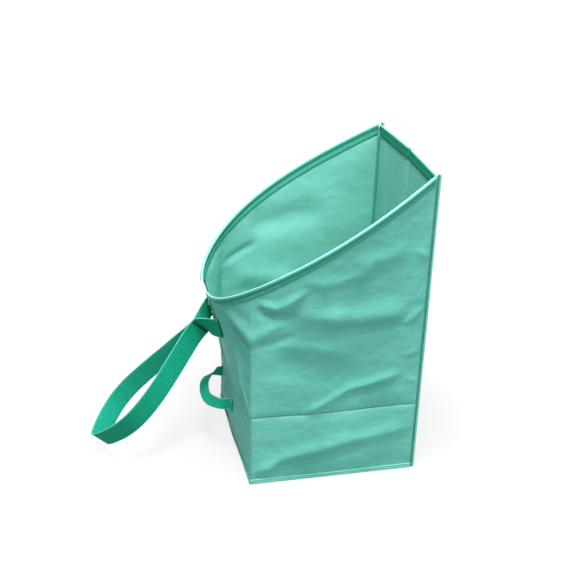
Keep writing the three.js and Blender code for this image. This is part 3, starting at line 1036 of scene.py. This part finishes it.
rim = {  # rod, hem round it and stitches under it
    "radius": 0.0039,
    "crownRadius": 0.0034,
    "crownDepth": 0.0104,
    "crownReach": 0.12,
    "hemColumns": 170,
    "outerDepth": 0.0165,
    "innerDepth": 0.022,
    "rootDepth": 0.0072,  # where both flaps leave the sleeve
    "rows": (5, 12, 6),  # outer flap, sleeve, inner flap
    "across": ((0.0, 0.0095), (0.0102, 0.0166), (0.0272, 0.015)),  # start and span, laid flat
    "sleeveTurn": (-38, 256),
    "away": 0.0009,
    "pucker": 0.0005,
    "outerPucker": 0.0004,
    "sleevePucker": 0.07,
    "thickness": 0.0006,
    "endSpace": 0.006,
    "rodRadius": 0.0025,
    "rodSpace": 0.012,
    "rodColumns": 200,
    "rodSides": 14,
    "stitchPitch": 0.0062,
    "stitchAway": 0.0018,
    "stitchRise": (0.003, 0.0032),  # above the outer and the inner flap's edge
    "stitch": (0.0022, 0.00055, 0.00045),
}
hemStart = rim["endSpace"] / mouthLength
hemStop = 0.5 - bag["bareCrown"] / 2 / mouthLength


def belowRim(share, depth, away):
    # a point beside the wall's cloth, a given depth below the rod
    rise = 1 - max(depth - bag["sleeveRadius"], 0) / wallTop(share).z
    return plainWall(share, rise) + crownDent(share, rise) + wallOutward(share, min(rise, 0.995)) * away


def hemSize(share):
    # the outer flap's depth and the sleeve's radius, both less toward the bare crown
    away = smoothStep((hemStop - min(share, 1 - share)) / rim["crownReach"])
    depth = rim["crownDepth"] + (rim["outerDepth"] - rim["crownDepth"]) * away
    return depth, rim["crownRadius"] + (rim["radius"] - rim["crownRadius"]) * away


def hemPart(row):
    # the part of the folded strip that a row is in, and how far across that part
    for part, count in enumerate(rim["rows"]):
        if row < count:
            return part, row / (count - 1)
        row -= count


def hemPoint(share, row):
    part, across = hemPart(row)
    outerDepth, sleeve = hemSize(share)
    pucker = noiseAt(share * mouthLength * 55, 0.3, 1.7)
    if part == 0:
        depth = outerDepth + (rim["rootDepth"] - outerDepth) * across
        return belowRim(share, depth, rim["away"] + rim["outerPucker"] * pucker * across)
    if part == 1:
        start, sweep = rim["sleeveTurn"]
        radius = sleeve * (1 + rim["sleevePucker"] * pucker)
        return aroundMouth(share, math.radians(start + sweep * across), radius)
    depth = rim["rootDepth"] + (rim["innerDepth"] - rim["rootDepth"]) * across
    return belowRim(share, depth, -bag["cloth"] - rim["away"] - rim["pucker"] * pucker)


def hemAcross(row):
    part, across = hemPart(row)
    start, span = rim["across"][part]
    return start + span * across


def makeHems():
    columns = rim["hemColumns"]
    for name, start, stop, node in (
        ("rimHemRight", hemStart, hemStop, "hoop_sleeve_right"),
        ("rimHemLeft", 1 - hemStart, 1 - hemStop, "hoop_sleeve_left"),
    ):
        shares = np.linspace(start, stop, columns + 1).tolist()
        middle = shares[columns // 2]
        grid = (
            columns,
            sum(rim["rows"]) - 1,
            lambda i, j: hemPoint(shares[i], j),
            lambda i, j: (shares[i] * mouthLength, hemAcross(j)),
            (hemPoint(middle, 0), wallOutward(middle, 0.99)),
        )
        makeSheet(grid, (name, hemCloth, "rim_fabric"), (rim["thickness"], 1), (node,))


def makeRod():
    start = rim["rodSpace"] / mouthLength
    shares = np.linspace(start, 1 - start, rim["rodColumns"] + 1).tolist()
    bm = shapedGrid(
        rim["rodColumns"],
        rim["rodSides"],
        lambda i, j: aroundMouth(shares[i], 2 * math.pi * j / rim["rodSides"], rim["rodRadius"]),
        lambda i, j: (shares[i] * mouthLength, j * 0.001),
        (mouthPoint(0.5) + upward * rim["rodRadius"], upward),
        closed=True,
    )
    bmesh.ops.holes_fill(bm, edges=[e for e in bm.edges if e.is_boundary])
    bmesh.ops.recalc_face_normals(bm, faces=bm.faces)
    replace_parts(finishPiece("hoopRod", bm, rodWhite, "glass_fibre"), "hoop_rod")


def makeRimStitches():
    # a row outside and a row inside, along both halves of the hem
    outerRise, innerRise = rim["stitchRise"]
    for name, away, sign in (
        ("rimStitchOuter", rim["stitchAway"], 1),
        ("rimStitchInner", -bag["cloth"] - rim["stitchAway"], -1),
    ):
        places = []
        for start, stop in ((hemStart, hemStop), (1 - hemStop, 1 - hemStart)):
            count = int((stop - start) * mouthLength / rim["stitchPitch"])
            for share in evenly(start, stop, count):
                depth = hemSize(share)[0] - outerRise if sign > 0 else rim["innerDepth"] - innerRise
                point = belowRim(share, depth, away)
                ahead = belowRim(share + 0.001, depth, away)
                places.append((point, ahead - point, wallOutward(share, 0.99) * sign))
        stitchRow(name, places, rim["stitch"])


makeHems()
makeRod()
makeRimStitches()
print("rim made")

lip = {  # band inside the scoop wall, folded edge on top
    "bandHeight": 0.025,
    "bandThick": 0.0014,
    "bandRows": 6,
    "bandDrop": 0.0015,
    "bandIn": 0.0012,
    "wave": 0.0004,
    "endSpace": 0.009,
    "columns": 120,
    "edgeSpace": 0.002,
    "edgeIn": 0.0012,
    "edgeRows": 10,
    "edgeRadius": 0.0021,
    "edgeDrop": 0.007,
    "edgeThick": 0.0005,
    "stitchPitch": 0.006,
    "stitchDrops": (0.0238, 0.0085),
    "stitchIn": 0.0031,
    "stitch": (0.0021, 0.0005, 0.0004),
}


def makeLip():
    half = halfWidth - lip["endSpace"]
    low = bag["lipHeight"] - lip["bandDrop"] - lip["bandHeight"]

    def bandPlace(i, j):
        y = -half + 2 * half * i / lip["columns"]
        z = low + lip["bandHeight"] * j / lip["bandRows"]
        wave = abs(lip["wave"] * noiseAt(y * 60, z * 30, 4))
        return Vector((halfLength - bag["cloth"] - lip["bandIn"] - wave + scoopBow(y, z), y, z))

    grid = (
        lip["columns"],
        lip["bandRows"],
        bandPlace,
        lambda i, j: (lip["bandHeight"] * j / lip["bandRows"], 2 * half * i / lip["columns"]),
        (Vector((halfLength - 0.002, 0, 0.74)), -backward),
    )
    makeSheet(grid, ("lipBand", lipWebbing, "webbing"), (lip["bandThick"], 1), ("lip_band",))

    wide = halfWidth - lip["edgeSpace"]
    radius, last = lip["edgeRadius"], lip["edgeRows"]

    def edgePlace(i, j):
        y = -wide + 2 * wide * i / lip["columns"]
        x = halfLength - lip["edgeIn"] + scoopBow(y, bag["lipHeight"])
        centre = Vector((x, y, bag["lipHeight"] - radius))
        if j in (0, last):
            side = 1 if j == 0 else -1
            return centre + Vector((side * radius, 0, -lip["edgeDrop"]))
        turn = math.pi * (j - 1) / (last - 2)
        wobble = 1 + 0.06 * noiseAt(y * 70, 2.2, 8)
        return centre + Vector((math.cos(turn), 0, math.sin(turn))) * radius * wobble

    grid = (
        lip["columns"],
        last,
        edgePlace,
        lambda i, j: (2 * wide * i / lip["columns"], j * 0.0015),
        (Vector((halfLength, 0, bag["lipHeight"])), upward),
    )
    makeSheet(grid, ("lipEdge", edgeHighlightCloth, "rim_fabric"), (lip["edgeThick"], -1))

    places = []
    for y in evenly(-half, half, int(2 * half / lip["stitchPitch"])):
        for drop in lip["stitchDrops"]:
            z = bag["lipHeight"] - drop
            x = halfLength - bag["cloth"] - lip["stitchIn"] + scoopBow(y, z)
            places.append((Vector((x, y, z)), sideward, -backward))
    stitchRow("lipStitch", places, lip["stitch"])


makeLip()
print("lip made")

seam = {  # up the two back corners
    "depth": 0.009,
    "thick": 0.0022,
    "rows": 190,
    "columns": 4,
    "tab": 0.004,  # how far it stands above the lip
    "in": 0.0002,
    "out": 0.0004,
    "pucker": 0.00035,
    "swing": 0.0006,
    "depthSwing": 0.05,
    "edge": 0.0006,
    "stitchPitch": 0.0058,
    "stitchOut": 0.0028,
    "stitchAway": 0.0004,
    "stitch": (0.0023, 0.0006, 0.0005),
}


def makeSeams():
    tall = bag["lipHeight"] + seam["tab"]
    for name, sign, node in (
        ("backSeamRight", -1, "back_seam_right"),
        ("backSeamLeft", 1, "back_seam_left"),
    ):
        middle = sign * (halfWidth - seam["thick"] / 2 - seam["in"])

        def place(i, j):
            z = tall * j / seam["rows"]
            share = i / seam["columns"]
            pucker = noiseAt(z * 75, share, sign * 3.1)
            swing = noiseAt(z * 9, 0.4, sign * 5.2)
            x = halfLength + seam["out"] + seam["depth"] * share * (1 + seam["depthSwing"] * swing)
            y = middle + sign * (seam["pucker"] * pucker + seam["swing"] * swing) * share
            return Vector((x, y, z))

        grid = (
            seam["columns"],
            seam["rows"],
            place,
            lambda i, j: (tall * j / seam["rows"], seam["depth"] * i / seam["columns"]),
            (Vector((halfLength, middle, 0.3)), sideward * sign),
        )
        look = (name, seamCloth, "binding_fabric")
        roundEdges(makeSheet(grid, look, (seam["thick"], 0), (node,)), seam["edge"])
        places = []
        for z in evenly(0, tall, int(tall / seam["stitchPitch"])):
            for side in (-1, 1):
                y = middle + side * (seam["thick"] / 2 + seam["stitchAway"])
                point = Vector((halfLength + seam["stitchOut"], y, z))
                places.append((point, upward, sideward * side))
        stitchRow(name + "Stitch", places, seam["stitch"])


innerTape = {
    "width": 0.009,
    "columns": 4,
    "low": 0.006,
    "topSpace": 0.034,
    "in": 0.0019,
    "wave": 0.0006,
    "thick": 0.0005,
}


def makeInnerTapes(s):
    # a narrow tape covers each back corner's raw edges inside the bag
    for name, sign in (("innerTapeRight", -1), ("innerTapeLeft", 1)):

        def place(i, j):
            z = s["low"] + (bag["lipHeight"] - s["topSpace"]) * j / seam["rows"]
            side = s["width"] * (i / s["columns"] - 0.5)
            inward = s["in"] + abs(s["wave"] * noiseAt(z * 14, 1.3, sign * 2.2))
            if side < 0:
                return Vector((halfLength + side - inward, sign * (halfWidth - inward), z))
            x = halfLength - inward + scoopBow(halfWidth - side, z)
            return Vector((x, sign * (halfWidth - inward - side), z))

        grid = (
            s["columns"],
            seam["rows"],
            place,
            lambda i, j: (bag["lipHeight"] * j / seam["rows"], s["width"] * i / s["columns"]),
            (Vector((halfLength, sign * halfWidth, 0.4)), Vector((-1, -sign, 0))),
        )
        makeSheet(grid, (name, seamTape, "binding_fabric"), (s["thick"], 1))


makeSeams()
makeInnerTapes(innerTape)
print("back seams made")

foot = {  # binding round the foot
    "height": 0.013,
    "thick": 0.0011,
    "rows": 4,
    "columns": 80,  # on each wall
    "around": 1.2,
    "away": 0.0003,
    "lowAway": 0.0002,
    "wave": 0.0004,
    "backWave": 0.0003,
    "backSpace": 0.001,
    "stitchPitch": 0.0065,
    "stitchShare": 0.72,
    "stitchAway": 0.0009,
    "cornerSpace": 0.004,
    "stitch": (0.0021, 0.0005, 0.0004),
}


def footRing(share, height, away):
    rise = height / wallTop(share).z
    return plainWall(share, rise) + wallOutward(share, rise) * away


def makeFootBinding():
    shares = wallShares(foot["columns"], foot["columns"])
    cover = (foot["thick"], 1)

    def heightAt(j):
        return foot["height"] * j / foot["rows"]

    def place(i, j):
        wave = abs(foot["wave"] * noiseAt(shares[i] * foot["around"] * 70, heightAt(j) * 90, 6))
        lower = foot["lowAway"] if j < foot["rows"] else 0
        return footRing(shares[i], heightAt(j), foot["away"] + wave + lower)

    grid = (
        len(shares) - 1,
        foot["rows"],
        place,
        lambda i, j: (shares[i] * foot["around"], heightAt(j)),
        (Vector((0, -halfWidth, 0)), -sideward),
    )
    nodes = ("base_binding_right", "base_binding_left", "base_binding_front")
    makeSheet(grid, ("footBinding", bindingCloth, "binding_fabric"), cover, nodes)

    inset = halfWidth - seam["thick"] - foot["backSpace"]

    def backPlace(i, j):
        y = -inset + 2 * inset * i / foot["columns"]
        wave = abs(foot["backWave"] * noiseAt(y * 70, heightAt(j) * 90, 16))
        return Vector((halfLength + foot["away"] + wave, y, heightAt(j)))

    grid = (
        foot["columns"],
        foot["rows"],
        backPlace,
        lambda i, j: (2 * inset * i / foot["columns"], heightAt(j)),
        (Vector((halfLength, 0, 0)), backward),
    )
    look = ("footBindingBack", bindingCloth, "binding_fabric")
    makeSheet(grid, look, cover, ("base_binding_back",))

    places = []
    height, away = foot["height"] * foot["stitchShare"], foot["thick"] + foot["stitchAway"]
    for share in evenly(0, 1, int((2 * bag["length"] + bag["width"]) / foot["stitchPitch"])):
        if min(abs(share - cornerShare), abs(share - 1 + cornerShare)) < foot["cornerSpace"]:
            continue
        point = footRing(share, height, away)
        along = footRing(share + 0.001, height, away) - point
        places.append((point, along, wallOutward(share, 0.01)))
    for k in range(int(2 * inset / foot["stitchPitch"])):
        y = -inset + foot["stitchPitch"] * (k + 0.5)
        places.append((Vector((halfLength + away, y, height)), sideward, backward))
    stitchRow("footStitch", places, foot["stitch"])


makeFootBinding()
print("foot binding made")

ribbonSettings = {"columns": 8, "edge": 0.0007}
strap = {  # sewn ends, strands and hand loop in one length of webbing
    "width": 0.05,
    "thick": 0.0024,
    "steps": 420,
    "spacing": 0.13,
    "height": 0.35,
    "patch": (0.048, 0.03, 0.014, 0.004),  # keys on each sewn end, from its turned edge inward
    "under": 0.0019,  # middles of the layers off the wall: sewn end, turn, and back over it
    "turned": 0.0034,
    "over": 0.0052,
    "turnOut": 0.0016,
    "joinBack": 0.008,
    "leave": (-0.012, -0.014, -0.004),  # the strand's run off its sewn end and into the throat
    "arrive": (0.004, 0.016, 0.004),
    "strandKeys": 6,
    "throat": (-0.28896, 0.0, 0.3252),
    "fall": 49,
    "loopLength": 0.38,
    "halfGap": 0.076,
    "layer": 0.0016,
    "blend": 0.09,
    "box": (0.022, 0.046, 0.0195),
    "boxAway": 0.0034,
    "boxStitch": (0.0021, 0.0006, 0.0005),
    "tackRows": (-0.0032, -0.001, 0.0012),
    "tackSpan": 0.0455,
    "tackCount": 22,
    "tackSlant": 0.9,
    "tackAway": 0.0004,
    "tackStitch": (0.0018, 0.001, 0.0006),
}
loopShapes = {  # share of the loop's length and of its half width, near side and far side
    -1: [
        (0.0, 0.0), (0.05, 0.02), (0.11, 0.12), (0.19, 0.32), (0.29, 0.56), (0.42, 0.85),
        (0.56, 1.02), (0.68, 1.02), (0.8, 0.82), (0.91, 0.46), (0.98, 0.15), (1.0, 0.0),
    ],
    1: [
        (0.0, 0.0), (0.05, 0.04), (0.11, 0.14), (0.19, 0.27), (0.29, 0.42), (0.42, 0.64),
        (0.56, 0.84), (0.68, 0.94), (0.8, 0.87), (0.91, 0.56), (0.98, 0.2), (1.0, 0.0),
    ],
}
throat = Vector(strap["throat"])
fall = math.radians(strap["fall"])
loopAlong = Vector((-math.cos(fall), 0, -math.sin(fall)))
loopAcross = Vector((math.sin(fall), 0, -math.cos(fall)))


def between(a, b, start, stop, t):
    return (a * (stop - t) + b * (t - start)) / (stop - start)


def curveThrough(points, steps):
    # centripetal curve through points, as evenly spaced places
    points = [points[0] * 2 - points[1]] + points + [points[-1] * 2 - points[-2]]
    fine = []
    for a, b, c, d in zip(points, points[1:], points[2:], points[3:]):
        t1 = math.sqrt(max((b - a).length, 1e-6))
        t2 = t1 + math.sqrt(max((c - b).length, 1e-6))
        t3 = t2 + math.sqrt(max((d - c).length, 1e-6))
        for k in range(12):
            t = t1 + (t2 - t1) * k / 12
            middle = between(b, c, t1, t2, t)
            before = between(between(a, b, 0, t1, t), middle, 0, t2, t)
            after = between(middle, between(c, d, t2, t3, t), t1, t3, t)
            fine.append(between(before, after, t1, t2, t))
    fine.append(points[-2])
    table = np.array(fine)
    run = runAlong(table)
    return [pointOn(table, run, w) for w in np.linspace(0, run[-1], steps + 1)], float(run[-1])


def lean(y):
    # down the front wall, behind the strap's sewn end
    low = frontWall(y, strap["height"] - strap["width"] / 2)[0]
    high = frontWall(y, strap["height"] + strap["width"] / 2)[0]
    down = low - high
    down.y = 0
    return down.normalized()


def strapHalf(sign):
    # keys from the sewn end to the loop's tip: place and the direction of the width
    edge, height = strap["spacing"] / 2, strap["height"]
    keys = []
    for inward in strap["patch"]:
        y = sign * (edge - inward)
        keys.append((frontWall(y, height, strap["under"])[0], lean(y)))
    # the webbing turns back over its own end and runs to the throat
    down = lean(sign * edge)
    seat = frontWall(sign * edge, height, strap["turned"])[0]
    start = frontWall(sign * (edge - strap["patch"][-1]), height, strap["over"])[0]
    keys += [(seat + sideward * sign * strap["turnOut"], down), (start, down)]
    join = throat - loopAlong * strap["joinBack"]
    leave, arrive = (Vector((x, sign * y, z)) for x, y, z in (strap["leave"], strap["arrive"]))
    curve = [start, start + leave, join + arrive, join]
    last = strap["strandKeys"]
    for k in range(1, last + 1):
        t = k / last
        weights = ((1 - t) ** 3, 3 * t * (1 - t) ** 2, 3 * t * t * (1 - t), t ** 3)
        point = sum((c * w for c, w in zip(curve, weights)), Vector())
        if k == last:
            point.y = sign * strap["layer"]
        keys.append((point, down.lerp(loopAcross, t * t).normalized()))
    for along, gap in loopShapes[sign]:
        point = throat + loopAlong * strap["loopLength"] * along
        layer = strap["layer"] if gap or along < 0.5 else 0
        point.y = sign * (layer + strap["halfGap"] * gap)
        keys.append((point, loopAcross))
    return keys


def ribbon(name, keys, s, material, inside=None):
    steps, width, columns = s["steps"], s["width"], ribbonSettings["columns"]
    points, length = curveThrough([k[0] for k in keys], steps)
    keyRun = runAlong(np.array([k[0] for k in keys]))
    keyRun *= length / keyRun[-1]
    keyWides = np.array([k[1] for k in keys])
    tangents, wides = [], []
    for i in range(steps + 1):
        tangent = (points[min(i + 1, steps)] - points[max(i - 1, 0)]).normalized()
        wide = pointOn(keyWides, keyRun, length * i / steps)
        tangents.append(tangent)
        wides.append((wide - tangent * wide.dot(tangent)).normalized())
    grid = (
        steps,
        columns,
        lambda i, j: points[i] + wides[i] * width * (j / columns - 0.5),
        lambda i, j: (width * j / columns, length * i / steps),
        (points[0], wides[0].cross(tangents[0])),
    )
    cover = (s["thick"], 0, inside) if inside else (s["thick"], 0)
    piece = makeSheet(grid, (name, material, "webbing", None), cover)
    roundEdges(piece, ribbonSettings["edge"])
    return piece, length


def makeStrap():
    keys = strapHalf(-1) + strapHalf(1)[::-1][1:]
    piece, length = ribbon("carryStrap", keys, strap, litInnerWebbing, webbing)
    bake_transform(piece)
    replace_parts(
        piece, "strap_patch_right", "strap_patch_left",
        "strap_strand_right", "strap_strand_left", "hand_loop",
    )
    print("carrying strap", round(length, 3), "m")


def makeThroatTacks():
    away = strap["layer"] + strap["thick"] / 2 + strap["tackAway"]
    last = strap["tackCount"] - 1
    for name, sign, node in (
        ("throatTackRight", -1, "throat_tack_right"),
        ("throatTackLeft", 1, "throat_tack_left"),
    ):
        places = []
        for row in strap["tackRows"]:
            for k in range(last + 1):
                point = throat + loopAlong * row + loopAcross * (strap["tackSpan"] * (k / last - 0.5))
                point.y = sign * away
                slant = loopAcross + loopAlong * strap["tackSlant"] * (1 if k % 2 else -1)
                places.append((point, slant, sideward * sign))
        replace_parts(stitchRow(name, places, strap["tackStitch"]), node)


def makeStrapStitches():
    # a sewn box on each of the strap's two ends
    start, stop, half = strap["box"]
    spots = [(y, half * (k / 7 - 0.5) * 2, True) for y in (start, stop) for k in range(8)]
    spots += [(y, side * half, False) for side in (-1, 1) for y in evenly(start, stop, 5)]
    places = []
    for sign in (-1, 1):
        for y, offset, upright in spots:
            point, outward = frontWall(sign * y, strap["height"], strap["boxAway"])
            down = lean(sign * y)
            places.append((point + down * offset, down if upright else sideward, outward))
    stitchRow("strapStitch", places, strap["boxStitch"])


makeStrap()
makeThroatTacks()
makeStrapStitches()
print("strap made")

tape = {  # narrow webbing that bows out between its two sewn ends
    "width": 0.029,
    "thick": 0.0018,
    "steps": 150,
    "ends": (-0.058, 0.112),
    "endKeys": (-0.014, -0.005, 0.004),
    "endAway": 0.0016,
    "height": 0.137,
    "reach": 0.056,
    "power": 0.5,
    "sag": (0.009, -0.35, 0.42),  # depth, middle and spread
    "seat": (-0.2233, 0.027),
    "blend": (0.004, 0.03),
    "twist": [  # share of the half length, and how far the width leans from level, in degrees
        (-0.93, -88), (-0.8, -80), (-0.62, -70), (-0.4, -60), (-0.15, -50), (0.1, -42),
        (0.35, -34), (0.55, -29), (0.72, -30), (0.86, -44), (0.95, -70),
    ],
    "stitchRows": (0.003, 0.0085),
    "stitchSpan": 0.024,
    "stitchCount": 9,
    "stitchAway": 0.0028,
    "stitch": (0.0012, 0.00045, 0.0004),
}


def tapeKeys():
    # it leans outwards between its sewn ends, most over its far half
    near, far = (frontWall(end, tape["height"])[0] for end in tape["ends"])
    middle, half = (near + far) / 2, (far - near) / 2
    out = Vector((-half.y, half.x, 0)).normalized()
    depth, deepest, spread = tape["sag"]
    power = tape["power"]
    keys = []
    for share, twist in tape["twist"]:
        room = 1 - share * share
        point = middle + half * share + out * tape["reach"] * room ** power
        point.z -= depth * math.exp(-(((share - deepest) / spread) ** 2))
        run = half - out * (2 * share * tape["reach"] * power * room ** (power - 1))
        side = Vector((-run.y, run.x, 0)).normalized()
        turn = math.radians(twist)
        keys.append((point, side * math.cos(turn) + upward * math.sin(turn)))
    start, stop = tape["ends"]
    ends = [start + y for y in tape["endKeys"]] + [stop - y for y in reversed(tape["endKeys"])]
    sewn = [(frontWall(y, tape["height"], tape["endAway"])[0], -upward) for y in ends]
    count = len(tape["endKeys"])
    return sewn[:count] + keys + sewn[count:]


def makeTape():
    piece, length = ribbon("tippingTape", tapeKeys(), tape, tapeWebbing)
    seat = Vector((*tape["seat"], tape["height"]))
    start, end = (seat - backward * away for away in tape["blend"])
    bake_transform(piece)
    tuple(start)
    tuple(end)
    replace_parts(piece, "tape_patch_right", "tape_patch_left", "tape_loop")
    print("tipping handle", round(length, 3), "m")
    places = []
    last = tape["stitchCount"] - 1
    for end, sign in zip(tape["ends"], (-1, 1)):
        for row in tape["stitchRows"]:
            for k in range(last + 1):
                height = tape["height"] + (k / last - 0.5) * tape["stitchSpan"]
                point, outward = frontWall(end + sign * row, height, tape["stitchAway"])
                places.append((point, upward, outward))
    stitchRow("tapeStitch", places, tape["stitch"])


makeTape()
print("tipping handle made")

for nodeName in ("hoop_cap_right", "hoop_cap_left"):
    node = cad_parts[nodeName]
    node.data.materials.clear()
    node.data.materials.append(capWhite)

studio = {
    "lamps": (  # name, power, size and place
        ("key", 42, 1.4, (1.3, -2.2, 2.9)),
        ("over", 92, 0.8, (-0.4, -0.88, 3.1)),
    ),
    "target": (0, 0, 0.35),
    "world": 0.41,
    "floorSize": 30,
    "floorGrey": (0.48, 0.48, 0.48, 1),
    "floorRough": 0.9,
    "glow": 1.12,
    "shadow": (0.35, 0.85, 0.72, 1.0),  # from near to far, how white the floor is
}


def addLamp(name, power, size, place):
    data = bpy.data.lights.new(name, "AREA")
    data.energy = power
    data.size = size
    lamp = addObject(name, data)
    lamp.location = place
    toward = Vector(studio["target"]) - Vector(place)
    lamp.rotation_euler = toward.to_track_quat("-Z", "Y").to_euler()


def mixSeen(tree, plain, bright, put, share=None):
    # the bright shader for what the camera sees, plain or in another surface
    path = addNode(tree, "LightPath").outputs
    seen = mathNode(tree, "MAXIMUM", path["Is Camera Ray"], path["Is Transmission Ray"])
    seen = mathNode(tree, "MAXIMUM", seen, path["Is Glossy Ray"])
    if share:
        seen = mathNode(tree, "MULTIPLY", seen, share)
    mix = addNode(tree, "MixShader", {0: seen, 1: plain.outputs[0], 2: bright.outputs[0]})
    tree.links.new(mix.outputs[0], put.inputs["Surface"])


def makeWorld():
    world = bpy.data.worlds.new("studio")
    bpy.context.scene.world = world
    world.use_nodes = True
    tree = world.node_tree
    background = tree.nodes["Background"]
    fillSockets(tree, background, {"Color": (1, 1, 1, 1), "Strength": studio["world"]})
    white = addNode(tree, "Background", {"Color": (1, 1, 1, 1), "Strength": 1})
    mixSeen(tree, background, white, tree.nodes["World Output"])


def makeFloor():
    # white to the camera, and it keeps a soft part of the shadow close to the bag
    bm = bmesh.new()
    bmesh.ops.create_grid(bm, x_segments=1, y_segments=1, size=studio["floorSize"])
    mesh = bpy.data.meshes.new("floor")
    bm.to_mesh(mesh)
    bm.free()
    material, tree, shader = newMaterial("pale floor")
    fillSockets(tree, shader, {"Base Color": studio["floorGrey"], "Roughness": studio["floorRough"]})
    glow = addNode(tree, "Emission", {"Strength": studio["glow"]})
    far = addNode(tree, "VectorMath", {0: objectPlace(tree)}, operation="LENGTH")
    share = rangeNode(tree, far.outputs["Value"], *studio["shadow"])
    mixSeen(tree, shader, glow, tree.nodes["Material Output"], share)
    mesh.materials.append(material)
    addObject("floor", mesh)


makeWorld()
makeFloor()
for lamp in studio["lamps"]:
    addLamp(*lamp)
bpy.context.scene.view_settings.view_transform = "Standard"
print("studio lit")
